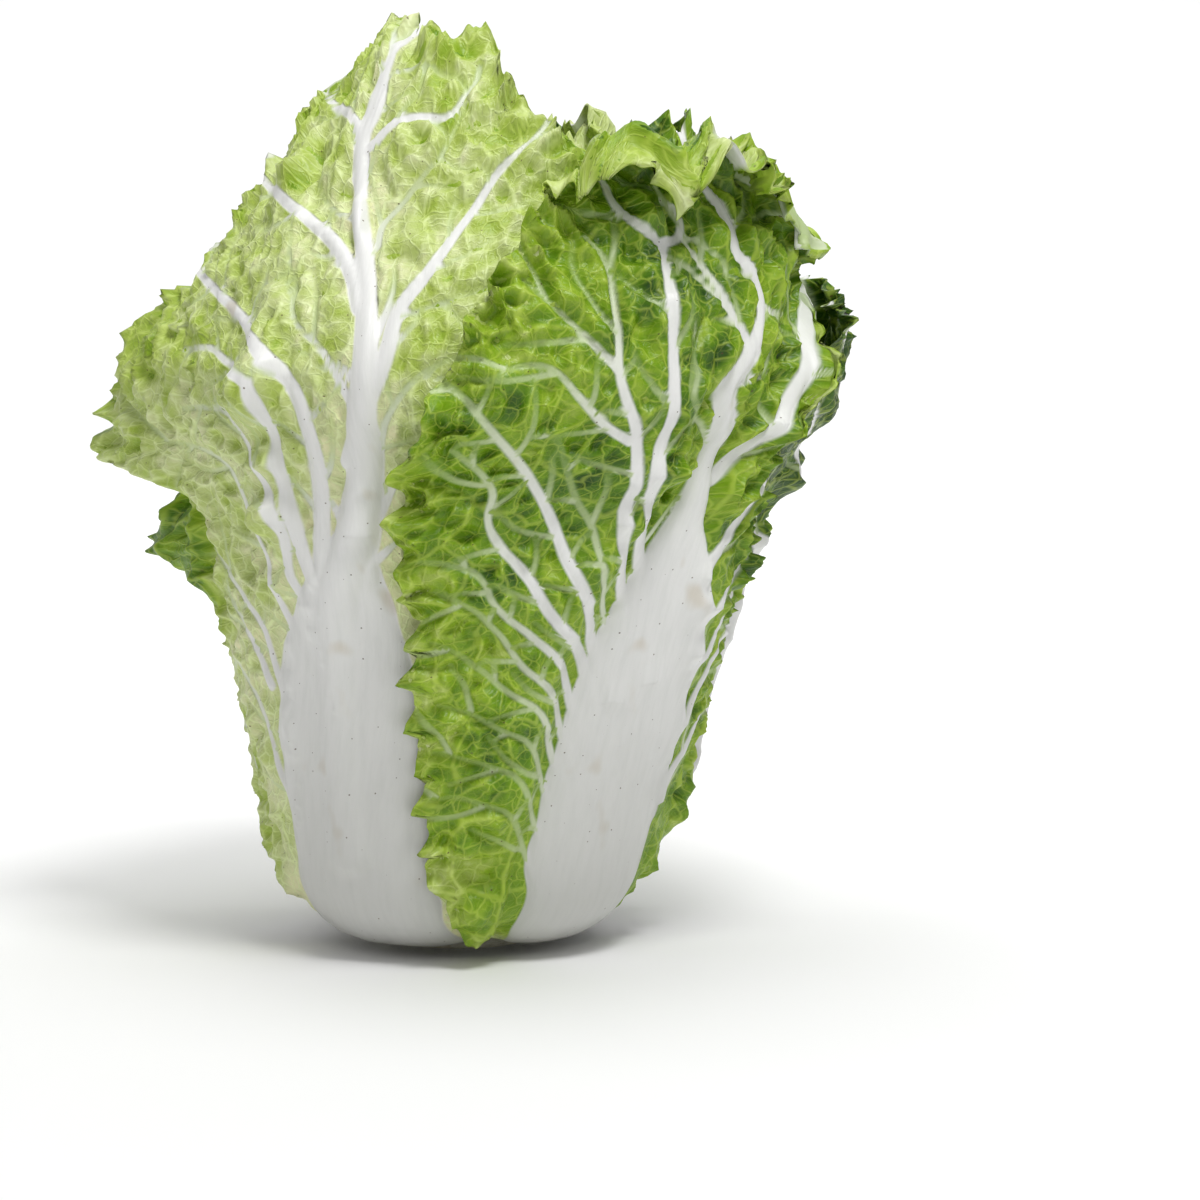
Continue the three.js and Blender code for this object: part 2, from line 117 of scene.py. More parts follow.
def cells(x, y, size, seed):
    """For a net of cells: the distance to the nearest border in millimetres, and a draw for each cell."""
    gx, gy = x / size, y / size
    ix, iy = np.floor(gx), np.floor(gy)
    middles = []
    for dx in (-1, 0, 1):
        for dy in (-1, 0, 1):
            cx, cy = ix + dx, iy + dy
            sx = cx + 0.1 + 0.8 * lattice(cx, cy, seed)
            sy = cy + 0.1 + 0.8 * lattice(cx, cy, seed + 1)
            middles.append((np.hypot(sx - gx, sy - gy), sx, sy, lattice(cx, cy, seed + 2)))
    middles = np.array(middles)
    order = np.argsort(middles[:, :1], axis=0, kind="stable")[:2]
    (near, near_x, near_y, draw), (second, second_x, second_y, _) = np.take_along_axis(middles, order, 0)
    apart = np.maximum(np.hypot(second_x - near_x, second_y - near_y), 1e-3)
    return (second**2 - near**2) / (2 * apart) * size, draw


def trace_outline():
    """Radius, height and slope of the heart's outline, for each millimetre of climb."""
    r, z, rows = HEART_BASE_RADIUS, STUB_HEIGHT, []
    for length, low, high in OUTLINE_BENDS:
        for k in range(length):
            a = math.radians(low + (high - low) * (k + 0.5) / length)
            rows.append((r, z, a))
            r += math.cos(a)
            z += math.sin(a)
    rows.append((r, z, math.pi))
    return np.array(rows).T


OUTLINE_R, OUTLINE_Z, OUTLINE_A = trace_outline()
CLIMBS = np.arange(len(OUTLINE_R))


def slope_at(climb):
    return np.interp(climb, CLIMBS, OUTLINE_A)


def radius_at(climb, stand_off):
    return np.interp(climb, CLIMBS, OUTLINE_R) + stand_off * np.sin(slope_at(climb))


def place(bearing, climb, stand_off):
    r, b = radius_at(climb, stand_off), np.radians(bearing)
    z = np.interp(climb, CLIMBS, OUTLINE_Z) - stand_off * np.cos(slope_at(climb))
    return np.stack([r * np.sin(b) + LEAN * z, -r * np.cos(b), z], -1)


def outward(bearing, climb):
    a, b = slope_at(climb), np.radians(bearing)
    return np.stack([np.sin(b) * np.sin(a), -np.cos(b) * np.sin(a), -np.cos(a)], -1)


def trace_height_map():
    """How far up the head's outside a climb is, in millimetres along it."""
    side = place(np.zeros(len(CLIMBS)), CLIMBS, ease(HEAD_OUTSIDE, CLIMBS))
    steps = np.linalg.norm(np.diff(side, axis=0), axis=1)
    return np.concatenate([[0], np.cumsum(steps)])


HEIGHTS = trace_height_map()

VIEW_AHEAD = np.array([0, math.cos(EYE_ELEVATION), -math.sin(EYE_ELEVATION)])
VIEW_RIGHT = np.array([1.0, 0, 0])
VIEW_UP = np.cross(VIEW_RIGHT, VIEW_AHEAD)
EYE = VIEW_CENTRE - VIEW_AHEAD * EYE_DISTANCE


def in_photo(points):
    """Where points in millimetres fall in the photograph's 1200 pixel frame."""
    d = points - EYE
    scale = EYE_DISTANCE / MM_PER_PIXEL / (d @ VIEW_AHEAD)
    half = PHOTO_PIXELS / 2
    return np.stack([half + scale * (d @ VIEW_RIGHT), half - scale * (d @ VIEW_UP)], -1)


# What the leaves laid so far reach out to, on a grid of bearing and climb.
BEARING_CELLS = 240
CLIMB_CELLS = 147
BEARING_CELL = 360 / BEARING_CELLS
CLIMB_CELL = 2.0
cover = np.zeros((BEARING_CELLS, CLIMB_CELLS))


def neighbours(field):
    padded = np.pad(field, ((0, 0), (1, 1)), mode="edge")
    turns = [np.roll(padded, k, axis=0) for k in (-1, 0, 1)]
    return np.stack([turn[:, k : k + field.shape[1]] for turn in turns for k in (0, 1, 2)])


def settle(field, passes):
    """Fills the hollows of a field, so that a sheet bridges them."""
    for _ in range(passes):
        field = np.maximum(field, neighbours(field).mean(0))
    return field


def read(field, bearing, climb):
    i = (bearing / BEARING_CELL) % BEARING_CELLS
    j = np.clip(climb / CLIMB_CELL, 0, CLIMB_CELLS - 1.001)
    i0, j0 = np.floor(i).astype(int) % BEARING_CELLS, np.floor(j).astype(int)
    i1, j1 = (i0 + 1) % BEARING_CELLS, j0 + 1
    fi, fj = i - np.floor(i), j - j0
    low = field[i0, j0] * (1 - fi) + field[i1, j0] * fi
    high = field[i0, j1] * (1 - fi) + field[i1, j1] * fi
    return low * (1 - fj) + high * fj


def lay_over(bearing, climb, out):
    i = np.round(bearing / BEARING_CELL).astype(int) % BEARING_CELLS
    j = np.clip(np.round(climb / CLIMB_CELL).astype(int), 0, CLIMB_CELLS - 1)
    np.maximum.at(cover, (i, j), out)


# Leaves. A place runs from foot (0) to tip (1), a side from the left margin (-1) to the right (1).
# turn and mid: the midrib's bearing and climb by place. reach: the share of the head's outside.
# left and right: margins as (place, degrees from the midrib, climb). flare: how far each stands out.
# rib and rib_height by climb. tones: the blade's green, from pale (0) to dark (1), by the rib and away.
# lobes: (side, place, fall below, fall above, out, degrees). tip: (side, climb added at the tip).
# teeth: (side, from, to, size). crease: (side, place, width, distance from the margin).
# curl: (middle, width, depth, radius, degrees) of the roll at the tip. grown_side: where the
# photograph hides a drawn leaf's veins. lift, blister, crumple, frill: the blade's relief.
WIDE_MARGIN = [
    (0, 20, 12), (0.07, 28, 24), (0.12, 40, 40), (0.2, 52, 64), (0.35, 56, 120), (0.5, 60, 160),
    (0.65, 62, 194), (0.8, 58, 222), (0.92, 46, 240), (1, 30, 252),
]
INNER_MARGIN = [
    (0, 20, 38), (0.15, 36, 66), (0.35, 50, 120), (0.55, 54, 174), (0.75, 50, 214), (0.9, 38, 240),
    (1, 24, 254),
]
HEART_MARGIN = [(0, 26, 120), (0.4, 44, 180), (0.7, 52, 226), (1, 46, 270)]
HEART_TOP_MARGIN = [(0, 26, 120), (0.4, 44, 180), (0.7, 54, 228), (1, 80, 284)]

# Half width of the white rib in millimetres, by climb.
OUTER_RIB = [
    (0, 19), (15, 25), (40, 30), (95, 29), (118, 24), (140, 14), (160, 9), (200, 5), (240, 2.5), (275, 1.5),
]
SHORT_RIB = [(0, 19), (15, 25), (40, 28), (80, 25), (110, 17), (135, 9), (165, 4.5), (200, 2), (275, 1.5)]
FRONT_LEFT_RIB = [
    (0, 26), (15, 30), (40, 30), (80, 28.5), (105, 25.5), (122, 20), (134, 13), (145, 8.8), (160, 7.6),
    (176, 6.8), (190, 4.6), (207, 3.1), (240, 2.6), (275, 2),
]
FRONT_LEFT_RIB_HEIGHT = [
    (0, 3), (12, 6), (30, 7.5), (80, 7), (105, 5.6), (125, 4.2), (145, 3.6), (180, 3.2), (275, 1),
]
FRONT_RIGHT_RIB = [
    (0, 19), (15, 25), (40, 29), (95, 27), (120, 20), (140, 12), (160, 5.5), (175, 4.4), (200, 3.2),
    (240, 2.2), (275, 2),
]
OUTER_RIB_HEIGHT = [(0, 3), (12, 6), (30, 7.5), (100, 7), (140, 6), (180, 4.5), (230, 3), (275, 1)]
INNER_RIB = [(30, 14), (70, 24), (110, 20), (150, 10), (210, 6), (275, 3)]
INNER_RIB_HEIGHT = [(30, 3), (70, 4.5), (150, 3.5), (220, 1.5), (275, 0.5)]


def midrib(foot, tip):
    return [(0, foot), (0.25, 46), (0.5, 100), (0.75, 170), (0.9, 170 + 0.65 * (tip - 170)), (1, tip)]


# Veins of the two front leaves: half widths in millimetres at root and end, then x and y of points in
# pixels of the photograph. The first of each runs along its rib.
FRONT_LEFT_VEINS = [
    (10, 2.6, 357, 850, 350, 780, 345, 700, 342, 640, 346, 580, 358, 525, 366, 450, 366, 378, 370, 315,
     368, 256, 364, 197, 366, 146),
    (3.2, 1.6, 362, 308, 356, 277, 339, 247, 314, 226, 280, 197, 274, 186, 280, 171),
    (3.6, 1.5, 326, 560, 322, 474, 305, 411, 278, 369, 246, 319, 225, 294, 211, 268, 213, 249, 227, 232),
    (3.0, 1.2, 308, 560, 300, 530, 286, 474, 257, 402, 243, 378, 229, 358, 215, 350, 190, 350),
    (2.4, 1.0, 292, 572, 283, 530, 268, 482, 244, 430, 230, 412, 212, 406, 190, 410),
    (2.0, 0.8, 284, 600, 272, 560, 256, 522, 244, 486, 231, 462, 205, 448, 170, 442),
    (2.2, 0.9, 279, 660, 268, 626, 253, 602, 236, 573, 222, 545, 210, 510),
    (2.0, 0.8, 276, 684, 261, 645, 246, 616, 230, 589),
    (1.9, 0.8, 270, 716, 256, 682, 240, 655, 223, 626),
    (1.7, 0.7, 268, 780, 254, 735, 243, 705, 232, 680),
    (3.6, 1.4, 385, 358, 402, 315, 431, 272, 461, 235, 495, 188, 532, 146, 548, 128),
    (1.1, 0.6, 380, 250, 385, 230, 406, 205, 419, 184, 440, 169, 461, 176, 486, 180),
    (1.4, 0.7, 388, 418, 410, 386, 436, 369, 470, 352),
    (1.6, 0.7, 386, 505, 402, 474, 440, 440, 480, 415),
    (0.9, 0.5, 402, 320, 440, 309, 462, 322, 470, 345),
    (1.5, 0.7, 357, 408, 345, 390, 326, 357, 301, 331, 297, 310, 301, 289, 290, 262),
    (1.0, 0.6, 252, 330, 258, 306, 270, 284, 276, 262),
    (2.0, 1.1, 366, 142, 362, 130, 343, 119, 334, 106, 337, 90, 352, 76),
    (2.2, 1.0, 366, 146, 381, 119, 387, 100, 391, 85, 398, 66, 406, 37),
    (1.9, 1.1, 374, 152, 398, 134, 423, 129, 452, 125, 467, 106, 474, 96, 478, 80),
    (1.0, 0.6, 391, 85, 427, 84, 469, 96),
]
FRONT_RIGHT_VEINS = [
    (4.6, 1.8, 717, 424, 722, 390, 743, 357, 756, 315, 751, 289, 739, 268, 732, 255, 726, 230, 713, 205,
     700, 192),
    (2.9, 1.3, 645, 500, 655, 466, 667, 424, 671, 378, 669, 315, 663, 272, 654, 249, 629, 230, 608, 209,
     596, 184, 566, 155),
    (2.6, 1.0, 622, 520, 633, 487, 633, 441, 617, 378, 615, 331, 610, 289, 598, 256, 583, 243),
    (1.2, 0.7, 615, 369, 591, 348, 558, 315, 520, 285),
    (1.4, 0.7, 629, 441, 604, 424, 575, 399, 549, 369, 516, 369, 490, 382),
    (2.3, 0.9, 585, 600, 566, 560, 549, 517, 528, 474, 495, 437, 465, 399, 440, 382),
    (1.2, 0.6, 600, 560, 590, 525, 575, 500, 566, 474, 558, 441, 545, 430),
    (2.2, 0.8, 575, 650, 550, 616, 528, 579, 502, 546, 488, 526, 492, 496, 482, 473, 455, 450),
    (1.8, 0.7, 560, 665, 531, 636, 498, 609, 478, 576, 449, 563, 422, 562),
    (1.5, 0.7, 550, 690, 522, 665, 502, 636, 478, 612, 455, 599, 435, 589),
    (1.4, 0.6, 540, 712, 508, 692, 482, 669, 455, 652, 435, 642),
    (1.2, 0.6, 530, 745, 500, 728, 470, 712, 440, 702),
    (1.1, 0.6, 520, 780, 490, 765, 460, 755, 435, 750),
    (1.0, 0.6, 510, 815, 485, 803, 455, 797, 430, 800),
    (1.6, 0.9, 737, 327, 713, 298, 684, 272, 663, 264),
    (1.5, 0.9, 676, 239, 701, 247, 726, 277),
    (1.5, 0.9, 655, 250, 676, 239, 671, 209, 646, 193, 621, 188),
    (1.5, 0.9, 752, 300, 764, 313, 776, 316),
    (1.3, 0.9, 728, 385, 744, 381, 762, 372),
    (1.0, 0.6, 705, 470, 700, 430, 690, 395, 690, 350, 700, 320),
    (2.1, 1.6, 796, 324, 798, 290, 792, 252, 780, 215, 764, 185, 742, 160, 722, 142),
    (1.5, 1.0, 782, 222, 762, 205, 742, 188, 724, 176),
]

# Points along each side of a leaf's sheet.
FINE_GRID = 277
OUTER_GRID = 171
INNER_GRID = 121
HEART_GRID = 63

OUTER_LEAVES = [
    dict(
        name="outer_leaf_back_left", turn=[(0, -98), (1, -104)], mid=midrib(8, 246),
        reach=[(0, 0.7), (0.4, 0.7), (1, 0.8)], flare=(6, 0), tones=(0.32, 0.72), seed=21,
    ),
    dict(
        name="outer_leaf_back", turn=[(0, -162), (1, -158)], mid=midrib(8, 264),
        reach=[(0, 0.75), (0.4, 0.85), (1, 0.9)], flare=(8, 6), tones=(0.3, 0.75), seed=22,
    ),
    dict(
        name="outer_leaf_back_right", turn=[(0, 152), (1, 146)], mid=midrib(7, 250),
        reach=[(0, 0.75), (0.4, 0.8), (1, 0.85)], flare=(0, 10), tones=(0.35, 0.8), seed=23,
    ),
    dict(
        name="outer_leaf_right", turn=[(0, 104), (0.5, 102), (1, 104)],
        mid=[(0, 6), (0.25, 40), (0.5, 88), (0.75, 145), (0.9, 186), (1, 212)],
        left=[
            (0, 22, 12), (0.08, 28, 24), (0.2, 36, 52), (0.35, 42, 92), (0.5, 48, 128), (0.65, 50, 156),
            (0.8, 46, 180), (0.92, 36, 196), (1, 24, 204),
        ],
        right=[
            (0, 22, 12), (0.08, 30, 24), (0.2, 44, 52), (0.35, 52, 92), (0.5, 54, 128), (0.65, 54, 156),
            (0.8, 48, 180), (0.92, 36, 196), (1, 24, 204),
        ],
        reach=[(0, 0.85), (0.4, 0.85), (0.7, 1), (1, 1.3)], flare=(0, 6), tones=(0.7, 1.0), seed=24,
        rib=SHORT_RIB,
    ),
    dict(
        name="outer_leaf_front_left",
        turn=[(0, -34), (0.3, -29), (0.55, -23), (0.75, -24), (0.9, -34), (1, -42)], mid=midrib(3, 272),
        left=[
            (0, 32, 10), (0.06, 42, 22), (0.12, 50, 40), (0.2, 56, 64), (0.35, 60, 118), (0.5, 66, 150),
            (0.65, 70, 176), (0.8, 62, 212), (0.92, 47, 240), (1, 34, 260),
        ],
        right=[
            (0, 42, 8), (0.06, 44, 20), (0.2, 46, 64), (0.35, 48, 118), (0.5, 52, 154), (0.65, 58, 190),
            (0.8, 59, 220), (0.92, 56, 243), (1, 50, 257),
        ],
        reach=[(0, 1), (1, 1)], flare=(0, 2), rib=FRONT_LEFT_RIB, rib_height=FRONT_LEFT_RIB_HEIGHT,
        tones=(0.13, 0.31), seed=25, grid=FINE_GRID, drawn=FRONT_LEFT_VEINS,
        lobes=[(-1, 0.435, 0.03, 0.06, 14, 5), (-1, 0.615, 0.025, 0.12, 30, 5)],
        ragged=0.65, margin_tone=0.14, crumple=1.5, halo=-0.08, crease=(-1, 0.47, 0.08, 26),
        tip=[(-1, 10), (-0.6, 11), (-0.3, 5), (0.04, -4), (0.3, 1), (0.48, 2), (0.7, 8), (0.82, 3), (1, -1)],
    ),
    dict(
        name="outer_leaf_front_right",
        turn=[(0, 50), (0.2, 44), (0.6, 43), (0.75, 47), (0.9, 52), (1, 48)], mid=midrib(3, 266),
        left=[
            (0, 38, 10), (0.05, 49, 19), (0.1, 53.5, 32), (0.2, 54.5, 61), (0.35, 55, 110), (0.5, 56, 148),
            (0.65, 53, 184), (0.8, 47, 214), (0.92, 41, 232), (1, 34, 240),
        ],
        right=[
            (0, 26, 10), (0.08, 34, 22), (0.2, 44, 62), (0.35, 36, 114), (0.5, 23, 146), (0.65, 15, 180),
            (0.8, 23, 210), (0.92, 29, 226), (1, 28, 230),
        ],
        reach=[(0, 1), (0.75, 1), (0.92, 1.45), (1, 1.4)], flare=(0, 0),
        rib=FRONT_RIGHT_RIB, tones=(0.69, 0.86), seed=26, grid=FINE_GRID, drawn=FRONT_RIGHT_VEINS,
        grown_side=1, curl=(-0.15, 0.95, 44, 6, 188), teeth=(-1, 0.04, 0.36, 5),
        tip=[
            (-1, -1), (-0.8, 8), (-0.65, 10), (-0.5, 5), (-0.2, 1), (0, -9), (0.2, -5), (0.4, -3), (0.5, -6),
            (0.7, -10), (0.8, -14), (1, -8),
        ],
        side_tone=(-0.1, 0.06), blister=2.3, margin_tone=-0.22, inside_tone=-0.2, crumple=3.0,
        # Painted shade in a dark rim beside the veins.
        lift=2.0, halo=0.04, foot_green=22,
    ),
]
PLAIN_LEAF = dict(
    lobes=[], curl=None, crease=None, teeth=None, drawn=None, grown_side=0, tip=[(-1, 0), (1, 0)],
    ragged=1, side_tone=(0, 0), foot_green=50, halo=-0.06,
)
OUTER_DEFAULTS = PLAIN_LEAF | dict(
    left=WIDE_MARGIN, right=WIDE_MARGIN, rib=OUTER_RIB, rib_height=OUTER_RIB_HEIGHT, grid=OUTER_GRID,
    blister=1.7, frill=5.0, crumple=2.3, lift=1.2, blade=0.9, gap=0.9, inside_tone=0.2,
    margin_tone=0.12, slot="outer_green",
)
INNER_LEAVES = [
    dict(
        name=name, turn=[(0, bearing), (1, bearing - 8)], mid=midrib(32, tip),
        reach=[(0, 0.1), (0.3, reach * 0.7), (0.65, reach), (0.85, top), (1, top)], flare=(2, 2),
        tones=tones, seed=seed,
    )
    for name, bearing, tip, reach, top, tones, seed in [
        ("inner_leaf_back", 176, 264, 0.5, 0.55, (0.15, 0.5), 11),
        ("inner_leaf_left", -72, 268, 0.5, 0.55, (0.12, 0.5), 12),
        ("inner_leaf_front", 18, 258, 0.6, 0.62, (0.18, 0.55), 13),
        ("inner_leaf_right", 82, 250, 0.65, 0.9, (0.45, 0.78), 14),
    ]
]
INNER_DEFAULTS = PLAIN_LEAF | dict(
    left=INNER_MARGIN, right=INNER_MARGIN, rib=INNER_RIB, rib_height=INNER_RIB_HEIGHT, grid=INNER_GRID,
    blister=1.4, frill=4.0, crumple=2.0, lift=0.8, blade=0.8, gap=0.8, inside_tone=0.15,
    margin_tone=0.1, slot="inner_green",
)


# Sheets and their relief, in millimetres.
DOME_RADIUS = 66.8
MARGIN_RADIUS = 110
FRILL_WAVE = 17
FRILL_DEPTH = 13
CRIMP_DEPTH = 5
TOOTH_LENGTH = 15
PUFF_SIZE = 13
SMALL_PUFF_SIZE = 6
FOLD_SIZE = 6.5
THINNEST = 0.35
LEAST_GAP = 0.35
SETTLE_PASSES = 14


def push_lobes(leaf, t, side, hand):
    """The lobes of the margins: how far they stand out, and how many degrees they reach round."""
    out, turn = np.zeros_like(t), np.zeros_like(t)
    for lobe_hand, at, below, above, size, degrees in leaf.lobes:
        share = np.exp(-(((t - at) / np.where(t < at, below, above)) ** 2))
        share *= smoothstep(side, 0.57, 1) * (hand == lobe_hand)
        out += size * share
        turn += degrees * share
    return out, turn


def ragged_line(leaf, t, hand, x, y):
    """How far the margin's ragged line, and any teeth, stand out from a smooth one."""
    wobble = 1.9 * noise(y, x * 0, 11, leaf.seed + 3) + 0.9 * noise(y, x * 0, 4.5, leaf.seed + 4)
    wobble = wobble * leaf.ragged
    if not leaf.teeth:
        return wobble
    teeth_hand, low, high, size = leaf.teeth
    saw = 1 - ((y / TOOTH_LENGTH + 0.15 * noise(y, y, 20, 5)) % 1)
    window = smoothstep(t, low, low + 0.04) * (1 - smoothstep(t, high, high + 0.1))
    return wobble + size * (saw - 0.4) * window * (hand == teeth_hand)


def lay_out(leaf):
    """The leaf's sheet: bearing and climb of every point, with its distances from midrib and margin."""
    t = np.linspace(0, 1, leaf.grid)[:, None]
    u = np.linspace(-1, 1, leaf.grid)[None, :]
    side = np.abs(u) + 0 * t
    hand = np.sign(u) + 0 * t
    t, u = t + 0 * u, u + 0 * t

    def margin(k):
        left = ease([(m[0], m[k]) for m in leaf.left], t)
        right = ease([(m[0], m[k]) for m in leaf.right], t)
        return np.where(u < 0, left, right)

    spread, edge_climb = margin(1), margin(2)
    mid_climb = ease(leaf.mid, t)
    climb = mid_climb + (edge_climb - mid_climb) * side**0.9
    lobe_out, lobe_turn = push_lobes(leaf, t, side, hand)
    tip_wave = ease(leaf.tip, u) + 1.5 * noise(u * 60, u * 0, 16, leaf.seed)
    climb = climb + tip_wave * smoothstep(t, 0.84, 1)
    outside = ease(HEAD_OUTSIDE, climb)
    radius = np.maximum(radius_at(climb, outside), 8)
    to_side = (1 - side) * np.radians(spread) * radius
    to_tip = (1 - t) * (HEIGHTS[-1] - HEIGHTS[0]) * 0.9
    to_edge = 1 / (1 / (to_side + 0.01) + 1 / (to_tip + 0.01))
    bearing = ease(leaf.turn, t) + hand * (side * spread + lobe_turn)
    places = np.linspace(0, 1, 200)
    turn_here = np.interp(climb, ease(leaf.mid, places), ease(leaf.turn, places))
    x = np.radians(bearing - turn_here) * radius
    y = np.interp(climb, CLIMBS, HEIGHTS)
    at_margin = smoothstep(side, 0.86, 1) * smoothstep(t, 0.04, 0.1)
    bearing = bearing + hand * np.degrees(ragged_line(leaf, t, hand, x, y) / radius) * at_margin
    seed = leaf.seed * 7
    return SimpleNamespace(
        t=t, u=u, side=side, hand=hand, bearing=bearing, climb=climb, outside=outside, radius=radius,
        to_side=to_side, to_tip=to_tip, to_edge=to_edge, lobe_out=lobe_out, x=x, y=y,
        grown=smoothstep(t, 0.22, 0.5), top=float(y.max()), seed=seed,
        rough=lambda size, k: noise(x, y, size, seed + k),
    )


# Veins in millimetres.
VEIN_STEP = 2.5
VEIN_SLOPE = 0.9
LEAST_VEIN = 0.85
DRAWN_TAPER = 0.65
MEETING = 2.6
BRANCH_SPACING = 15
BRANCH_LENGTH = 28
BRANCH_WIDTH = 0.8


def smooth_path(points):
    """Points every few millimetres on a smooth curve through the given ones."""
    p = np.array(points, float)
    p = np.vstack([2 * p[0] - p[1], p, 2 * p[-1] - p[-2]])
    path = []
    for a, b, c, d in zip(p[:-3], p[1:-2], p[2:-1], p[3:]):
        count = max(2, int(np.linalg.norm(c - b) / VEIN_STEP))
        square, cube = 2 * a - 5 * b + 4 * c - d, 3 * b - a - 3 * c + d
        for f in np.arange(count) / count:
            path.append(0.5 * (2 * b + (c - a) * f + square * f**2 + cube * f**3))
    path.append(p[-2])
    return np.array(path)


class Vein:
    """A vein's path over the leaf in millimetres, with its half width from root to end."""

    def __init__(self, path, root, end):
        self.path = path
        self.widths = np.linspace(root, end, len(path))


def march(start, heading, length, bend, rng):
    """A path that starts at a point and turns as it goes. Headings are counted from straight up the leaf."""
    path = [np.array(start, float)]
    for _ in range(max(3, int(length / VEIN_STEP))):
        heading += bend * VEIN_STEP + rng.normal(0, 0.05)
        path.append(path[-1] + VEIN_STEP * np.array([math.sin(heading), math.cos(heading)]))
    return np.array(path)


def branch_off(veins, rng, spacing, length, least):
    """Branches of veins, alternately to the left and the right. One ends where it meets a vein."""
    young = []
    for vein in veins:
        steps = np.linalg.norm(np.diff(vein.path, axis=0), axis=1)
        along = np.concatenate([[0], np.cumsum(steps)])
        at = rng.uniform(0.4, 1.0) * spacing
        hand = rng.choice([-1, 1])
        while at < along[-1] - 3:
            k = int(np.searchsorted(along, at))
            direction = vein.path[min(k + 1, len(vein.path) - 1)] - vein.path[k - 1]
            heading = math.atan2(direction[0], direction[1]) + hand * rng.uniform(0.6, 1.1)
            width = max(least, 0.42 * vein.widths[min(k, len(vein.widths) - 1)])
            reach = length * rng.uniform(0.6, 1.3)
            path = march(vein.path[k], heading, reach, -hand * rng.uniform(0.0, 0.03), rng)
            others = np.vstack([other.path for other in veins + young if other is not vein] + [path[:1] + 99])
            apart = np.linalg.norm(path[2:, None] - others[None], axis=2).min(1)
            met = np.flatnonzero(apart < MEETING)
            if len(met):
                last = met[0] + 2
                path = np.vstack([path[:last], others[np.argmin(((path[last] - others) ** 2).sum(1))]])
            young.append(Vein(path, width, 0.5 * least))
            at += spacing * rng.uniform(0.7, 1.3)
            hand = -hand
    return young


def rib_half_width(leaf, height):
    return ease(leaf.rib, np.array([np.interp(height, HEIGHTS, CLIMBS)]))[0]


def grown_laterals(leaf, low, high, hands, rng):
    """Side veins of a leaf that no drawing gives, from the rib to the margins on the sides given."""
    veins = []
    for hand in hands:
        y = low + rng.uniform(0, 10)
        while y < high:
            share = (y - 40) / 260
            heading = hand * (0.2 + 0.55 * share + rng.uniform(-0.06, 0.06))
            root = (hand * rib_half_width(leaf, y) * 0.75, y)
            path = march(root, heading, 150 - 60 * share, hand * 0.006, rng)
            veins.append(Vein(path, 2.9 - 1.2 * share, 0.8))
            y += rng.uniform(19, 27)
    return veins


def drawn_veins(leaf, lay, out):
    """The veins that the photograph shows, carried from its pixels onto the leaf."""
    points = place(lay.bearing, lay.climb, out)
    facing = outward(lay.bearing, lay.climb) @ VIEW_AHEAD < 0.05
    seen = in_photo(points)[facing]
    x, y = lay.x[facing], lay.y[facing]
    veins = []
    for root, end, *numbers in leaf.drawn:
        pixels = np.array(numbers, float).reshape(-1, 2)
        spots = [np.argmin(((seen - pixel) ** 2).sum(1)) for pixel in pixels]
        points = [np.array([x[k], y[k]]) for k in spots]
        joined = any(np.hypot(*(v.path - points[0]).T).min() < 5 for v in veins)
        past_rib = abs(points[0][0]) - 0.7 * rib_half_width(leaf, points[0][1])
        if 0 < past_rib < 30 and not joined:
            inward = np.array([-math.copysign(1, points[0][0]), -1.9])
            points = [points[0] + past_rib * inward, points[0] + 0.5 * past_rib * inward] + points
        veins.append(Vein(smooth_path(points), root, end * DRAWN_TAPER))
    return veins


def vein_fields(veins, x, y):
    """The veins' height, the depth inside their edge, how pale they are, and how far the nearest is."""
    height = np.zeros_like(x)
    inside = np.full(x.shape, -6.0)
    pale = np.zeros_like(x)
    nearest = np.full(x.shape, 60.0)
    for vein in veins:
        reach = vein.widths.max() + 8
        low, high = vein.path.min(0) - reach, vein.path.max(0) + reach
        close = (x > low[0]) & (x < high[0]) & (y > low[1]) & (y < high[1])
        if not close.any():
            continue
        px, py = x[close], y[close]
        depth = np.full(px.shape, -60.0)
        distance = np.full(px.shape, 60.0)
        width = np.ones(px.shape)
        for a, run, w in zip(vein.path, np.diff(vein.path, axis=0), vein.widths):
            f = np.clip(((px - a[0]) * run[0] + (py - a[1]) * run[1]) / max(run @ run, 1e-6), 0, 1)
            d = np.hypot(px - a[0] - f * run[0], py - a[1] - f * run[1])
            deeper = w - d > depth
            depth[deeper], distance[deeper], width[deeper] = (w - d)[deeper], d[deeper], w
        drawn = width
        depth = depth + np.maximum(LEAST_VEIN - width, 0)
        width = np.maximum(width, LEAST_VEIN)
        share = distance / (width + VEIN_SLOPE)
        height[close] = np.maximum(height[close], 0.85 * width * np.clip(1 - share**2, 0, 1) ** 0.8)
        deepest = depth > inside[close]
        inside[close] = np.where(deepest, depth, inside[close])
        pale[close] = np.where(deepest, np.clip(0.75 * (drawn - 0.3), 0, 0.97), pale[close])
        nearest[close] = np.minimum(nearest[close], distance)
    return height, inside, pale, nearest


def bend(past, radius, most):
    """A sheet bent outwards on an arc, then straight: how far it stands out, slides, and its angle."""
    angle = np.minimum(past / radius, most)
    straight = past - angle * radius
    out = radius * (1 - np.cos(angle)) + straight * np.sin(angle)
    slide = radius * np.sin(angle) + straight * np.cos(angle) - past
    return out, slide, angle


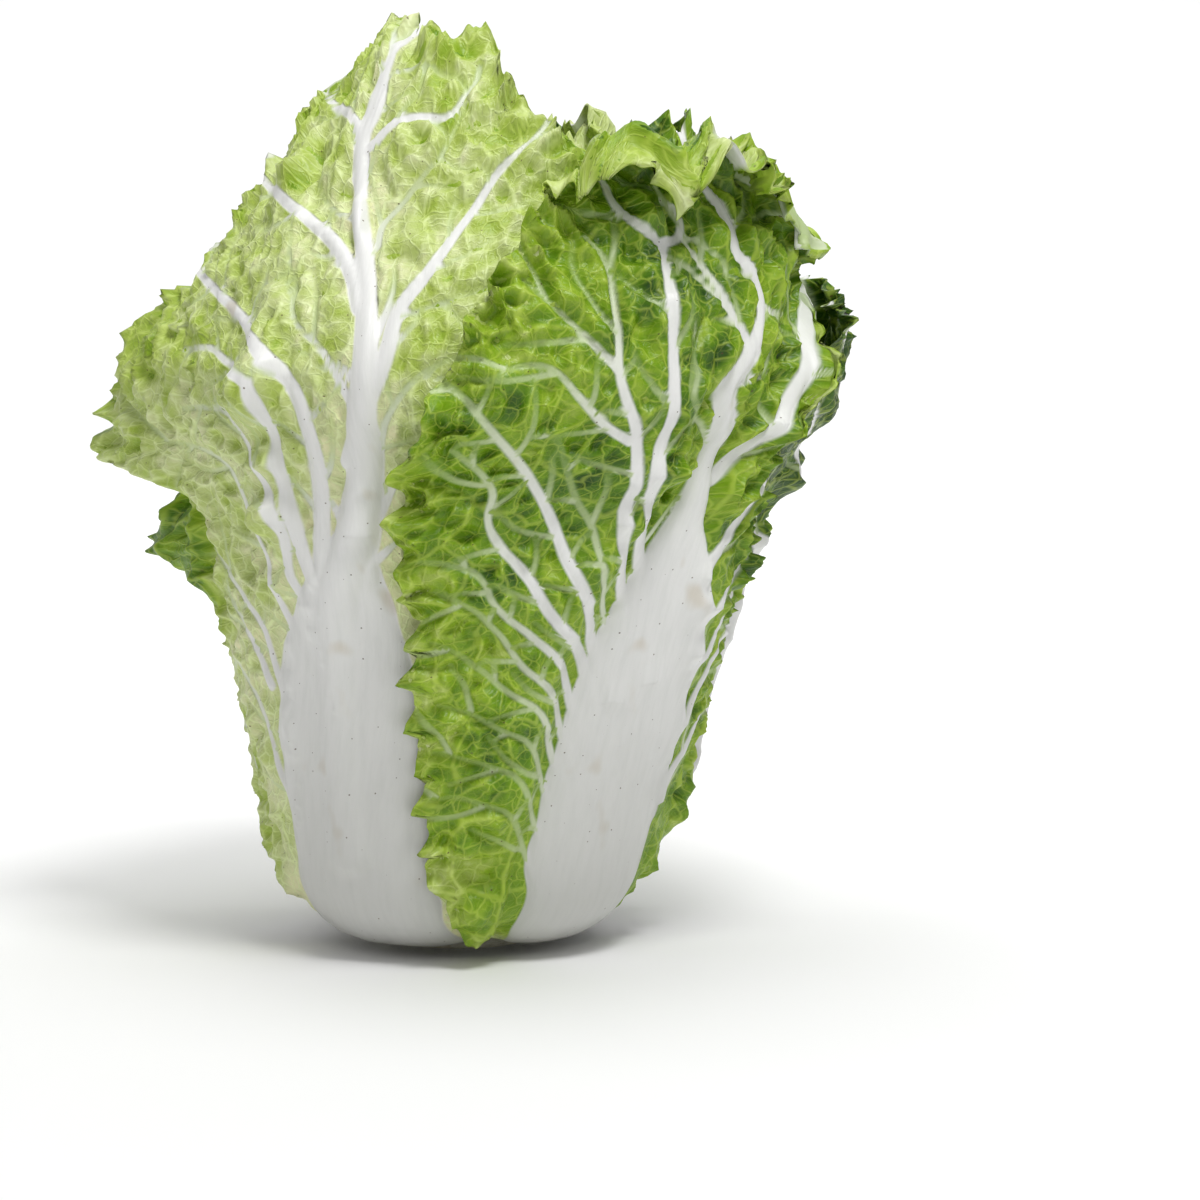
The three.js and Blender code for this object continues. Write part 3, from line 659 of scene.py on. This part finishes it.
def curl(leaf, lay, out, height):
    """Climb and stand-off of a surface some way out from the sheet, with the tip rolled outwards."""
    climb = lay.climb
    if not leaf.curl:
        return climb, out + height
    middle, width, depth, radius, degrees = leaf.curl
    window = np.exp(-(((lay.u - middle) / width) ** 4))
    waves = 1 + 0.2 * noise(lay.x, lay.x * 0, 16, 9)
    to_tip = (climb[-1:] - climb) * (DOME_RADIUS + out) / DOME_RADIUS
    past = np.clip(depth * window * waves - to_tip, 0, None)
    stood_out, slide, angle = bend(past, radius, math.radians(degrees))
    out = out + stood_out
    slide = slide - height * np.sin(angle)
    return climb + slide * DOME_RADIUS / (DOME_RADIUS + out), out + height * np.cos(angle)


def wave_margin(leaf, lay):
    """The margin's frills: how far out, how near the margin a point is, and the sway to the side."""
    x, y, middle = lay.x, lay.y, 0.45 * lay.top
    around = np.arctan2(x, y - middle) * MARGIN_RADIUS + 6 * lay.rough(25, 7)
    wave = around * 2 * np.pi / FRILL_WAVE
    ruffle = np.sin(wave) * 0.6 + noise(around, x * 0, 6, lay.seed + 8)
    crimp = noise(around, x * 0, 3.2, lay.seed + 9) + 0.5 * lay.rough(3.5, 10)
    off_middle = smoothstep(np.hypot(x, y - middle), 30, 80)
    near = np.exp(-lay.to_edge / FRILL_DEPTH) * lay.grown * off_middle
    close = np.exp(-lay.to_edge / CRIMP_DEPTH) * smoothstep(lay.t, 0.08, 0.3)
    frill = leaf.frill * near * (0.75 + 0.8 * ruffle) + 0.33 * leaf.frill * close * crimp
    sway = np.degrees(0.35 * leaf.frill * near * np.cos(wave) / lay.radius)
    return frill, near, sway


def lay_veins(leaf, lay, surface, rng):
    """The main side veins, as drawn where the photograph shows them and grown elsewhere."""
    if not leaf.drawn:
        return grown_laterals(leaf, 55, lay.top - 40, (-1, 1), rng)
    veins = drawn_veins(leaf, lay, surface)
    if leaf.grown_side:
        veins += grown_laterals(leaf, 60, 170, (leaf.grown_side,), rng)
    return veins


def raise_rib(leaf, lay, main):
    """The white rib: its height, the depth inside its edge, and the distance in its half widths."""
    x, y = lay.x, lay.y
    line = np.zeros_like(x)
    if leaf.drawn:
        path = main[0].path[np.argsort(main[0].path[:, 1])]
        foot_x, foot_y = path[0]
        line_x = np.concatenate([[0, 0.3 * foot_x], path[:, 0]])
        line_y = np.concatenate([[foot_y - 90, foot_y - 45], path[:, 1]])
        line = np.interp(y, line_y, line_x)
    half_width = ease(leaf.rib, lay.climb)
    share = np.abs(x - line) / half_width
    height = ease(leaf.rib_height, lay.climb) * np.clip(1 - share**2, 0, 1) ** 0.7
    return height, half_width * (1 - share) + 1.2 * lay.rough(14, 0), share


def puff_cells(lay):
    """Large and small puffed cells between the veins: height, shade, and distance to the border."""
    warp_x = lay.x + 2.2 * lay.rough(9, 1) + 5 * lay.rough(30, 2)
    warp_y = lay.y + 2.2 * lay.rough(9, 3) + 5 * lay.rough(30, 4)
    border, draw = cells(warp_x, warp_y * 0.85, PUFF_SIZE, lay.seed + 5)
    small_border, small_draw = cells(warp_x, warp_y, SMALL_PUFF_SIZE, lay.seed + 6)
    height = smoothstep(border, 0, 4.5) * (2 * draw - 1.25)
    height = height + 0.5 * smoothstep(small_border, 0, 2.5) * (small_draw - 0.6)
    shade = (draw - 0.45) * smoothstep(border, 0.4, 4)
    shade = shade + 0.6 * (small_draw - 0.5) * smoothstep(small_border, 0.2, 2)
    return height, shade, border


def fold_back(leaf, lay):
    """A part of the margin set off by a crease and raised a little: its depth, and the share that is set off.
    """
    if not leaf.crease:
        return 0, np.zeros_like(lay.x)
    hand, at, width, from_margin = leaf.crease
    window = np.exp(-(((lay.t - at) / width) ** 4)) * (lay.hand == hand)
    flap = window * smoothstep(lay.to_side, from_margin + 1, from_margin - 5)
    valley = np.exp(-(((lay.to_side - from_margin) / 4) ** 2))
    return 2 * flap - 4.5 * window * valley, flap


def shape_leaf(leaf):
    """Lays the leaf over those inside it. Returns its two faces and what its surface shows."""
    lay = lay_out(leaf)
    rng = np.random.default_rng(leaf.seed)
    x, y, t = lay.x, lay.y, lay.t

    flare = np.where(lay.u < 0, leaf.flare[0], leaf.flare[1])
    flare = flare * smoothstep(lay.side, 0.45, 1) * np.sin(np.pi * np.minimum(t, 0.95)) ** 2
    base = lay.outside * ease(leaf.reach, t) + flare + lay.lobe_out + 1.0
    wide = neighbours(cover).max(0)
    under = read(settle(wide, SETTLE_PASSES), lay.bearing, lay.climb) + leaf.gap
    least = read(wide, lay.bearing, lay.climb) + LEAST_GAP

    main = lay_veins(leaf, lay, greater(base, under, 2.0), rng)
    rib_height, rib_inside, rib_share = raise_rib(leaf, lay, main)
    rib_white = smoothstep(rib_inside, -1, 1)
    branches = branch_off(main, rng, BRANCH_SPACING, BRANCH_LENGTH, BRANCH_WIDTH)
    vein_height, vein_inside, vein_pale, vein_distance = vein_fields(main + branches, x, y)
    blade = 1 - np.maximum(rib_white, smoothstep(vein_inside, -1.5, 0.5))
    open_blade = blade * smoothstep(rib_share, 0.9, 1.8)
    inner = greater(np.maximum(base - 0.45 * rib_height, 0), under, 2.0) + leaf.lift * open_blade

    frill, edge_near, sway = wave_margin(leaf, lay)
    folds = 1 - 2 * np.abs(lay.rough(FOLD_SIZE, 17)) + 0.6 * lay.rough(3.6, 18)
    rolled = smoothstep(lay.to_tip, 30, 20) if leaf.curl else 0
    crumpled = 0.8 * np.maximum(edge_near, 1.1 * rolled) + 0.15 * lay.grown
    crease, flap = fold_back(leaf, lay)
    puffs, puff_shade, border = puff_cells(lay)
    swell = 2.4 * lay.rough(42, 11) + 1.3 * lay.rough(19, 12)
    swell = swell * (0.5 + 0.5 * lay.grown)
    between = 1 - np.exp(-((vein_distance / 4) ** 2))
    relief = open_blade * (leaf.blister * (puffs + 0.5 * folds) * 1.8 * between + swell)
    relief = relief + frill + leaf.crumple * folds * crumpled * blade + crease
    held = np.maximum(inner + relief, least - 9 * rolled)

    veins_up = vein_height * (1 - 0.7 * np.exp(-lay.to_edge / 5))
    raised = greater(rib_height, veins_up, 0.3 + 0.6 * np.minimum(rib_height, veins_up))
    ridges = 0.28 * noise(x, y * 0.05, 5.5, lay.seed + 13) * np.clip(1 - rib_share, 0, 1) ** 0.5
    net = 0.35 * np.exp(-((border / 1.1) ** 2)) * open_blade
    thickness = leaf.blade * (1 - 0.45 * np.exp(-lay.to_edge / 4))
    thickness = np.maximum(thickness + raised + rib_white * ridges + net, THINNEST)
    lay_over(lay.bearing.ravel(), lay.climb.ravel(), (held + thickness).ravel())
    faces = []
    for height in (held - inner + thickness, held - inner):
        faces.append(place(lay.bearing + sway, *curl(leaf, lay, inner, height)))

    pale = np.where(rib_inside > vein_inside, 0.97, vein_pale) * (1 - 0.8 * flap)
    # Tone that follows the relief: partly each cell's own mottle, partly painted shade, darker in the folds'
    # hollows and paler on their crests.
    shade = (puff_shade - 0.35 * folds) * open_blade
    tone = blade_tone(leaf, lay, rib_share) + 0.14 * leaf.blister * shade
    # Beside the veins: below zero a paler rim of the blade's own colour, above zero painted shade.
    tone = tone + leaf.halo * np.exp(-vein_distance / 3.5) + 0.45 * flap
    skin = dict(
        inside=np.clip(np.maximum(rib_inside, vein_inside), -4, 4), pale=np.clip(pale, 0, 1),
        tone=np.clip(tone, 0.02, 1), border=np.clip(border + 3 * rib_white, 0, 4), x=x, y=y,
    )
    inside_tone = np.clip(tone + leaf.inside_tone, 0.02, 1)
    return faces, [skin, dict(skin, tone=inside_tone, pale=0.5 * skin["pale"])]


def blade_tone(leaf, lay, rib_share):
    """How dark the blade's green is: paler at the foot and by the rib, with soft patches."""
    low, high = leaf.tones
    tone = low + (high - low) * (1 - np.exp(-np.clip(rib_share - 1, 0, None) / 2.2))
    tone = tone + leaf.margin_tone * np.exp(-lay.to_edge / 16)
    tone = tone + np.where(lay.u < 0, leaf.side_tone[0], leaf.side_tone[1]) * lay.side
    tone = tone + 0.09 * lay.rough(34, 14) + 0.05 * lay.rough(9, 15)
    above_foot = lay.y + 3 * lay.rough(9, 16)
    return tone - 0.55 * (1 - smoothstep(above_foot, 0.25 * leaf.foot_green, leaf.foot_green))


def quads(index, flipped=False):
    """Four-sided faces between the points of a grid."""
    corners = [index[:-1, :-1], index[:-1, 1:], index[1:, 1:], index[1:, :-1]]
    if flipped:
        corners.reverse()
    return np.stack(corners, -1).reshape(-1, 4).tolist()


def ring_of(index):
    """The points round the edge of a grid."""
    return np.concatenate([index[0], index[1:, -1], index[-1, -2::-1], index[-2:0:-1, 0]]).tolist()


def sheet_mesh(faces, skin):
    """Points, faces and values of a leaf: a fine outer face, an inner one at half its grid, a rim."""
    outer, inner = faces[0], faces[1][::2, ::2]
    fine = np.arange(outer[..., 0].size).reshape(outer.shape[:2])
    coarse = fine.size + np.arange(inner[..., 0].size).reshape(inner.shape[:2])
    polygons = quads(fine) + quads(coarse, flipped=True)
    edge, inner_edge = ring_of(fine), ring_of(coarse)
    for k, start in enumerate(inner_edge):
        end = inner_edge[(k + 1) % len(inner_edge)]
        a, b, c = edge[2 * k], edge[2 * k + 1], edge[(2 * k + 2) % len(edge)]
        polygons += [[start, b, a], [start, end, b], [end, c, b]]
    points = np.vstack([outer.reshape(-1, 3), inner.reshape(-1, 3)])
    values = {key: np.concatenate([skin[0][key].ravel(), skin[1][key][::2, ::2].ravel()]) for key in skin[0]}
    return points, polygons, values


def tube_quads(rows, around):
    """Faces of a tube of rings, closed at both ends."""
    index = np.arange(rows * around).reshape(rows, around)
    return quads(np.hstack([index, index[:, :1]])) + [index[0, ::-1].tolist(), index[-1].tolist()]


def add_object(name, data):
    thing = bpy.data.objects.new(name, data)
    bpy.context.scene.collection.objects.link(thing)
    return thing


def add_mesh(name, parts, material, node):
    """One object from one or more sheets, in place of a node of the solids."""
    points, values = [part[0] for part in parts], [part[2] for part in parts]
    polygons, first = [], 0
    for part_points, part_polygons, _ in parts:
        polygons += [[k + first for k in polygon] for polygon in part_polygons]
        first += len(part_points)
    mesh = bpy.data.meshes.new(name)
    mesh.from_pydata((np.vstack(points) * MM).tolist(), [], polygons)
    merged = {key: np.concatenate([v[key] for v in values]) for key in values[0]}
    for key in ("inside", "pale", "tone", "border"):
        field = mesh.attributes.new(key, "FLOAT", "POINT")
        field.data.foreach_set("value", merged[key].astype(np.float32))
    chart = np.stack([merged["x"], merged["y"], np.zeros_like(merged["x"])], -1) * 0.1
    field = mesh.attributes.new("chart", "FLOAT_VECTOR", "POINT")
    field.data.foreach_set("vector", chart.astype(np.float32).ravel())
    mesh.shade_smooth()
    mesh.materials.append(material)
    piece = add_object(name, mesh)
    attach(piece, "root")
    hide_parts(node)


# Materials


NET_SHARE = 0.36


def from_display(r, g, b):
    """A colour as it is seen on a screen, made linear."""
    return tuple(((c + 0.055) / 1.055) ** 2.4 if c > 0.04 else c / 12.92 for c in (r, g, b)) + (1.0,)


RIB_WHITE = from_display(0.92, 0.92, 0.91)
RIB_GREY = from_display(0.87, 0.875, 0.86)
# Painted shade for the lower part of the ribs.
RIB_PAINTED_SHADE = from_display(0.71, 0.71, 0.69)
VEIN_GREEN = from_display(0.70, 0.79, 0.46)
NET_PALE = from_display(0.79, 0.87, 0.36)
NET_LIGHT = from_display(0.89, 0.94, 0.70)
FOOT_DUN = from_display(0.56, 0.54, 0.44)
BLOTCH_TAN = from_display(0.80, 0.75, 0.66)
SPECK_BROWN = from_display(0.33, 0.24, 0.14)
STEM_PALE = from_display(0.90, 0.89, 0.82)
STEM_DUN = from_display(0.80, 0.79, 0.68)
STEM_BROWN = from_display(0.70, 0.60, 0.42)
STEM_RING = from_display(0.74, 0.72, 0.50)
FLOOR_PALE = (0.9, 0.9, 0.9, 1.0)
LAMP_WHITE = (1.0, 1.0, 1.0, 1.0)
TONES = [
    (0.0, from_display(0.91, 0.90, 0.71)),
    (0.12, from_display(0.83, 0.85, 0.64)),
    (0.25, from_display(0.745, 0.80, 0.50)),
    (0.4, from_display(0.65, 0.735, 0.31)),
    (0.55, from_display(0.545, 0.67, 0.15)),
    (0.7, from_display(0.43, 0.58, 0.05)),
    (0.85, from_display(0.30, 0.46, 0.02)),
    (1.0, from_display(0.16, 0.30, 0.02)),
]


class Nodes:
    """Builds a material's nodes in short lines."""

    def __init__(self, name):
        self.material = bpy.data.materials.new(name)
        self.material.use_nodes = True
        self.tree = self.material.node_tree
        self.shader = self.tree.nodes["Principled BSDF"]

    def node(self, kind, inputs=(), **settings):
        node = self.tree.nodes.new(kind)
        for key, value in settings.items():
            setattr(node, key, value)
        for key, value in dict(inputs).items():
            self.set(node.inputs[key], value)
        return node

    def set(self, socket, value):
        if isinstance(value, bpy.types.NodeSocket):
            self.tree.links.new(value, socket)
        else:
            socket.default_value = value

    def attribute(self, name):
        return self.node("ShaderNodeAttribute", attribute_name=name)

    def math(self, operation, a, b, clamp=False):
        return self.node("ShaderNodeMath", {0: a, 1: b}, operation=operation, use_clamp=clamp).outputs[0]

    def times(self, a, b):
        return self.math("MULTIPLY", a, b)

    def plus(self, a, b):
        return self.math("ADD", a, b)

    def band(self, value, low, high):
        """0 below low and 1 above high, or the reverse where low is the greater."""
        inputs = {0: value, 1: min(low, high), 2: max(low, high)}
        if low < high:
            inputs.update({3: 0.0, 4: 1.0})
        else:
            inputs.update({3: 1.0, 4: 0.0})
        return self.node("ShaderNodeMapRange", inputs, interpolation_type="SMOOTHSTEP").outputs[0]

    def mix(self, factor, a, b):
        node = self.node("ShaderNodeMix", data_type="RGBA")
        self.set(node.inputs["Factor"], factor)
        colours = [s for s in node.inputs if s.type == "RGBA"]
        self.set(colours[0], a)
        self.set(colours[1], b)
        return [s for s in node.outputs if s.type == "RGBA"][0]

    def noise(self, vector, scale, detail=2.0, roughness=0.5):
        inputs = {"Vector": vector, "Scale": scale, "Detail": detail, "Roughness": roughness}
        return self.node("ShaderNodeTexNoise", inputs, noise_dimensions="2D").outputs[0]

    def cells(self, vector, scale, feature):
        """A net of cells: the distance to a border (DISTANCE_TO_EDGE) or to a middle (F1)."""
        inputs = {"Vector": vector, "Scale": scale}
        return self.node("ShaderNodeTexVoronoi", inputs, voronoi_dimensions="2D", feature=feature)

    def threads(self, vector, scale, width):
        borders = self.cells(vector, scale, "DISTANCE_TO_EDGE")
        return self.band(borders.outputs["Distance"], width, 0.0)

    def stretch(self, vector, x, y):
        inputs = {0: vector, 1: (x, y, 1.0)}
        return self.node("ShaderNodeVectorMath", inputs, operation="MULTIPLY").outputs[0]

    def ramp(self, value, stops):
        node = self.node("ShaderNodeValToRGB", {"Fac": value})
        elements = node.color_ramp.elements
        for element, stop in zip(elements, (stops[0], stops[-1])):
            element.position, element.color = stop
        for position, colour in stops[1:-1]:
            elements.new(position).color = colour
        return node.outputs["Color"]

    def finish(self, colour, height, strength, distance, roughness):
        """Joins a colour, a bump height and a roughness to the shader."""
        bump = {"Strength": strength, "Distance": distance, "Height": height}
        self.set(self.shader.inputs["Base Color"], colour)
        self.set(self.shader.inputs["Normal"], self.node("ShaderNodeBump", bump).outputs[0])
        self.set(self.shader.inputs["Roughness"], roughness)
        return self.material


def fine_net(n, chart):
    """The pale net of the finest veins: the borders of the puffs, and two sizes of wandering threads."""
    puff_borders = n.band(n.attribute("border").outputs["Fac"], 1.0, 0.1)
    inputs = {"Vector": chart, "Scale": 1.8, "Detail": 1.0}
    wander = n.node("ShaderNodeTexNoise", inputs, noise_dimensions="2D").outputs["Color"]
    inputs = {0: wander, 1: (0.35, 0.35, 0.0), 2: chart}
    bent = n.node("ShaderNodeVectorMath", inputs, operation="MULTIPLY_ADD").outputs[0]
    coarse = n.times(n.threads(bent, 1.8, 0.11), NET_SHARE)
    fine = n.times(n.threads(bent, 4.5, 0.13), 0.35 * NET_SHARE)
    return n.math("MAXIMUM", n.math("MAXIMUM", n.times(puff_borders, 0.4), coarse), fine)


def rib_colour(n, chart):
    """White flesh with soft grey streaks and tan blotches, painted shade low down, and dun at the foot."""
    streaks = n.noise(n.stretch(chart, 2.4, 0.35), 1.6, 3.0, 0.6)
    rib = n.mix(n.times(n.band(streaks, 0.3, 0.85), 0.6), RIB_WHITE, RIB_GREY)
    blotches = n.band(n.noise(n.stretch(chart, 0.5, 0.35), 1.1, 2.0, 0.55), 0.66, 0.8)
    rib = n.mix(n.times(blotches, 0.5), rib, BLOTCH_TAN)
    up = n.node("ShaderNodeSeparateXYZ", {0: chart}).outputs[1]
    # Painted shade: the rib darkens from 17 cm down to 3 cm above its foot.
    rib = n.mix(n.times(n.band(up, 17.0, 3.0), 0.6), rib, RIB_PAINTED_SHADE)
    return n.mix(n.times(n.band(up, 2.8, 0.6), 0.4), rib, FOOT_DUN)


def add_specks(n, chart, colour):
    dots = n.cells(chart, 1.25, "F1")
    draw = n.node("ShaderNodeSeparateColor", {0: dots.outputs["Color"]}).outputs[0]
    specks = n.math("LESS_THAN", n.plus(dots.outputs["Distance"], 0.018), n.times(draw, 0.055))
    return n.mix(n.times(specks, 0.75), colour, SPECK_BROWN)


def leaf_material(name, bump):
    """A green blade with a fine pale net, and smooth white ribs. The chart is in centimetres."""
    n = Nodes(name)
    chart = n.attribute("chart").outputs["Vector"]
    pale = n.attribute("pale").outputs["Fac"]
    in_rib = n.band(n.attribute("inside").outputs["Fac"], -0.6, 0.45)
    white = n.times(in_rib, n.band(pale, -0.05, 0.55))
    blade_share = n.math("SUBTRACT", 1.0, white, clamp=True)

    mottle = n.noise(chart, 1.6, 4.0, 0.6)
    patches = n.times(n.math("SUBTRACT", mottle, 0.5), 0.22)
    tone = n.math("ADD", n.attribute("tone").outputs["Fac"], patches, clamp=True)
    lines = fine_net(n, chart)
    clearer = n.plus(1.0, n.times(n.band(tone, 0.6, 0.15), 0.8))
    shown = n.times(n.times(lines, clearer), blade_share)
    blade = n.mix(shown, n.ramp(tone, TONES), n.mix(n.band(tone, 0.15, 0.6), NET_LIGHT, NET_PALE))
    flesh = n.mix(n.band(pale, 0.0, 0.9), VEIN_GREEN, rib_colour(n, chart))
    colour = add_specks(n, chart, n.mix(white, blade, flesh))

    wrinkles = n.times(n.noise(chart, 3.6, 2.0, 0.5), 0.9)
    rib_grain = n.noise(n.stretch(chart, 5.0, 1.0), 2.0, 2.0, 0.6)
    height = n.times(n.plus(n.times(lines, 0.8), wrinkles), blade_share)
    height = n.plus(height, n.times(rib_grain, n.times(white, 0.12)))
    n.shader.inputs["Specular IOR Level"].default_value = 0.35
    return n.finish(colour, height, bump, 0.0007, n.plus(0.30, n.times(mottle, 0.2)))


def make_leaf(spec, material):
    leaf = SimpleNamespace(**spec)
    parts = [sheet_mesh(*shape_leaf(leaf))]
    add_mesh(leaf.name + "_tissue", parts, material, leaf.name)


def make_leaves():
    """The heart first and the outer leaves last, because each lies over those before it."""
    inner = leaf_material("leaf_inner", 0.8)
    outer = leaf_material("leaf_outer", 0.9)
    make_heart(inner)
    for spec in INNER_LEAVES:
        make_leaf(INNER_DEFAULTS | spec, inner)
    for spec in OUTER_LEAVES:
        make_leaf(OUTER_DEFAULTS | spec, outer)


# The heart. The first few of its leaves close over the top.
HEART_LEAF_COUNT = 12
HEART_TOP_COUNT = 4
HEART_TURN = 137.5
CORE_AROUND = 96
CORE_UP = 81


def make_heart(material):
    """The tight heart: its core, and small crinkled leaves wrapped over one another round its top."""
    parts = [heart_core()]
    for k in range(HEART_LEAF_COUNT):
        over_top = k < HEART_TOP_COUNT
        margin = HEART_TOP_MARGIN if over_top else HEART_MARGIN
        spec = INNER_DEFAULTS | dict(
            turn=[(0, 40 + HEART_TURN * k), (1, 46 + HEART_TURN * k)],
            mid=[(0, 110), (1, 291 - 0.5 * k if over_top else 288 - 1.5 * k)],
            left=margin, right=margin, grid=HEART_GRID, seed=40 + k,
            rib=[(100, 10), (180, 6), (280, 2)], rib_height=[(100, 1.5), (280, 0.6)],
            reach=[(0, 0), (0.5, 0.02 * k), (1, 0.1 + 0.035 * k)], flare=(0, 0),
            tones=(0.02, 0.16 + 0.012 * k), frill=3.5, blister=1.1, blade=0.6, gap=0.5, crumple=1.6,
        )
        parts.append(sheet_mesh(*shape_leaf(SimpleNamespace(**spec))))
    add_mesh("heart_leaves", parts, material, "heart")


def heart_core():
    """The body under the heart's leaves, closed at its foot and its top."""
    turns = np.linspace(0, 360, CORE_AROUND, endpoint=False)
    bearing, climb = np.meshgrid(turns, np.linspace(0, CLIMBS[-1], CORE_UP))
    points = place(bearing, climb, -0.6 + 0.5 * noise(bearing * 0.9, climb, 11, 77)).reshape(-1, 3)
    x, y = (bearing * 1.1).ravel(), climb.ravel()
    values = dict(
        inside=np.where(y < 60, 2.0, -2.0), pale=0 * y + 0.8, tone=0 * y + 0.08, border=0 * y + 4, x=x, y=y,
    )
    return points, tube_quads(CORE_UP, CORE_AROUND), values


# The cut stem
STEM_RADIUS = 27.0
STEM_TOP_RADIUS = 25.5
STEM_GAP = 0.4
STEM_BEVEL = 1.2
STEM_AROUND = 128
FACE_RINGS = 26
SIDE_RINGS = 18
RING_RADIUS = 19.0
RING_WIDTH = 2.5


def stem_profile():
    """Radius and height of the stump's rings: out along the cut face, up the side, and in over the top."""
    top = STUB_HEIGHT - STEM_GAP
    profile = [(r, 0.0) for r in np.linspace(0.5, STEM_RADIUS - 1, FACE_RINGS)]
    profile += [(STEM_RADIUS - 0.5, 0.3), (STEM_RADIUS, STEM_BEVEL)]
    for f in np.linspace(0.05, 1, SIDE_RINGS):
        radius = STEM_RADIUS + (STEM_TOP_RADIUS - STEM_RADIUS) * f
        profile.append((radius, STEM_BEVEL + (top - STEM_BEVEL) * f))
    return profile + [(r, top) for r in np.linspace(STEM_TOP_RADIUS - 1, 0.5, 8)]


def make_stem():
    """The stump that the head stands on: a fibrous side, and a cut face with its ring of dots."""
    angles = np.linspace(0, 2 * np.pi, STEM_AROUND, endpoint=False)
    profile = stem_profile()
    points, white, y = [], [], []
    for k, (radius, z) in enumerate(profile):
        on_face = k < FACE_RINGS
        on_side = FACE_RINGS <= k < FACE_RINGS + SIDE_RINGS + 2
        ripple = 0.35 * noise(angles * radius, angles * 0 + z, 3.5, 5) * on_side
        wavy = radius + np.minimum(ripple, 0.3)
        grain = noise(radius * np.cos(angles), radius * np.sin(angles), 2.5, 8)
        height = z + 0.12 * (1 + grain) * (k < FACE_RINGS - 1)
        points.append(np.stack([wavy * np.sin(angles), -wavy * np.cos(angles), height], -1))
        ring = math.exp(-(((radius - RING_RADIUS) / RING_WIDTH) ** 2)) * on_face
        white += [0.95 - 0.35 * ring] * STEM_AROUND
        y += [radius if on_face else STEM_RADIUS + z] * STEM_AROUND
    count = len(y)
    values = dict(
        inside=np.full(count, 4.0), pale=np.array(white), tone=np.full(count, 0.12),
        border=np.full(count, 4.0), x=np.tile(angles * STEM_RADIUS, len(profile)), y=np.array(y),
    )
    parts = [(np.vstack(points), tube_quads(len(profile), STEM_AROUND), values)]
    add_mesh("stem_stump", parts, stem_material(), "cut_stem")


def stem_material():
    """Pale fibrous flesh, browned in places, with a darker ring on the cut face."""
    n = Nodes("stem_flesh")
    position = n.node("ShaderNodeTexCoord").outputs["Object"]
    chart = n.attribute("chart").outputs["Vector"]
    fibre = n.noise(n.stretch(chart, 1.0, 6.0), 3.0, 4.0, 0.6)
    pores = n.node("ShaderNodeTexVoronoi", {"Vector": position, "Scale": 420.0}, feature="F1")
    browned = n.noise(position, 55.0, 4.0, 0.6)
    colour = n.mix(n.band(fibre, 0.35, 0.75), STEM_PALE, STEM_DUN)
    colour = n.mix(n.times(n.band(browned, 0.5, 0.72), 0.7), colour, STEM_BROWN)
    ring = n.math("SUBTRACT", 0.95, n.attribute("pale").outputs["Fac"], clamp=True)
    colour = n.mix(n.math("MULTIPLY", ring, 1.6, clamp=True), colour, STEM_RING)
    height = n.plus(fibre, n.times(pores.outputs["Distance"], 0.6))
    return n.finish(colour, height, 0.6, 0.0006, n.plus(0.42, n.times(browned, 0.25)))


# The studio, in metres, with lamps placed in millimetres.
FLOOR_FRONT = -6.0
FLOOR_HALF_WIDTH = 9.0
SWEEP_START = 2.5
SWEEP_RADIUS = 2.0
SWEEP_STEPS = 24
SWEEP_TOP = 7.0
WORLD_STRENGTH = 0.36
HEAD_MIDDLE = (0, 0, 150)
LAMPS = [
    ("key", (450, -950, 1900), HEAD_MIDDLE, 0.55, 24),
    ("top", (0, 100, 2100), HEAD_MIDDLE, 1.3, 13),
    ("backdrop", (0, 1200, 2600), (0, 4500, 900), 3.0, 90),
]


def make_floor():
    """A pale floor that sweeps up into a backdrop."""
    profile = [(FLOOR_FRONT, 0.0), (SWEEP_START, 0.0)]
    for k in range(1, SWEEP_STEPS + 1):
        a = math.pi / 2 * k / SWEEP_STEPS
        profile.append((SWEEP_START + SWEEP_RADIUS * math.sin(a), SWEEP_RADIUS * (1 - math.cos(a))))
    profile.append((SWEEP_START + SWEEP_RADIUS, SWEEP_TOP))
    points = [(x, y, z) for y, z in profile for x in (-FLOOR_HALF_WIDTH, FLOOR_HALF_WIDTH)]
    polygons = [[2 * k, 2 * k + 1, 2 * k + 3, 2 * k + 2] for k in range(len(profile) - 1)]
    mesh = bpy.data.meshes.new("floor")
    mesh.from_pydata(points, [], polygons)
    mesh.shade_smooth()
    material = bpy.data.materials.new("pale_floor")
    material.use_nodes = True
    shader = material.node_tree.nodes["Principled BSDF"]
    shader.inputs["Base Color"].default_value = FLOOR_PALE
    shader.inputs["Roughness"].default_value = 0.8
    mesh.materials.append(material)
    add_object("floor", mesh)


def make_light():
    """A dim even world, and soft square lamps aimed at the head and the backdrop."""
    world = bpy.data.worlds.new("studio")
    world.use_nodes = True
    background = world.node_tree.nodes["Background"]
    background.inputs["Color"].default_value = LAMP_WHITE
    background.inputs["Strength"].default_value = WORLD_STRENGTH
    bpy.context.scene.world = world
    for name, spot, aim, size, power in LAMPS:
        data = bpy.data.lights.new(name, "AREA")
        data.shape = "SQUARE"
        data.size = size
        data.energy = power
        lamp = add_object(name, data)
        lamp.location = Vector(spot) * MM
        lamp.rotation_euler = (Vector(aim) - Vector(spot)).to_track_quat("-Z", "Y").to_euler()


def make_camera():
    """The photograph's viewpoint, with its width of view at the head."""
    data = bpy.data.cameras.new("camera")
    data.sensor_width = SENSOR_WIDTH
    data.lens = SENSOR_WIDTH * EYE_DISTANCE / (PHOTO_PIXELS * MM_PER_PIXEL)
    data.clip_start = 0.05
    camera = add_object("camera", data)
    camera.location = Vector(EYE) * MM
    camera.rotation_euler = Vector(VIEW_AHEAD).to_track_quat("-Z", "Y").to_euler()
    bpy.context.scene.camera = camera


make_camera()
make_floor()
make_light()
make_stem()
make_leaves()
bpy.context.scene.view_settings.view_transform = "Standard"
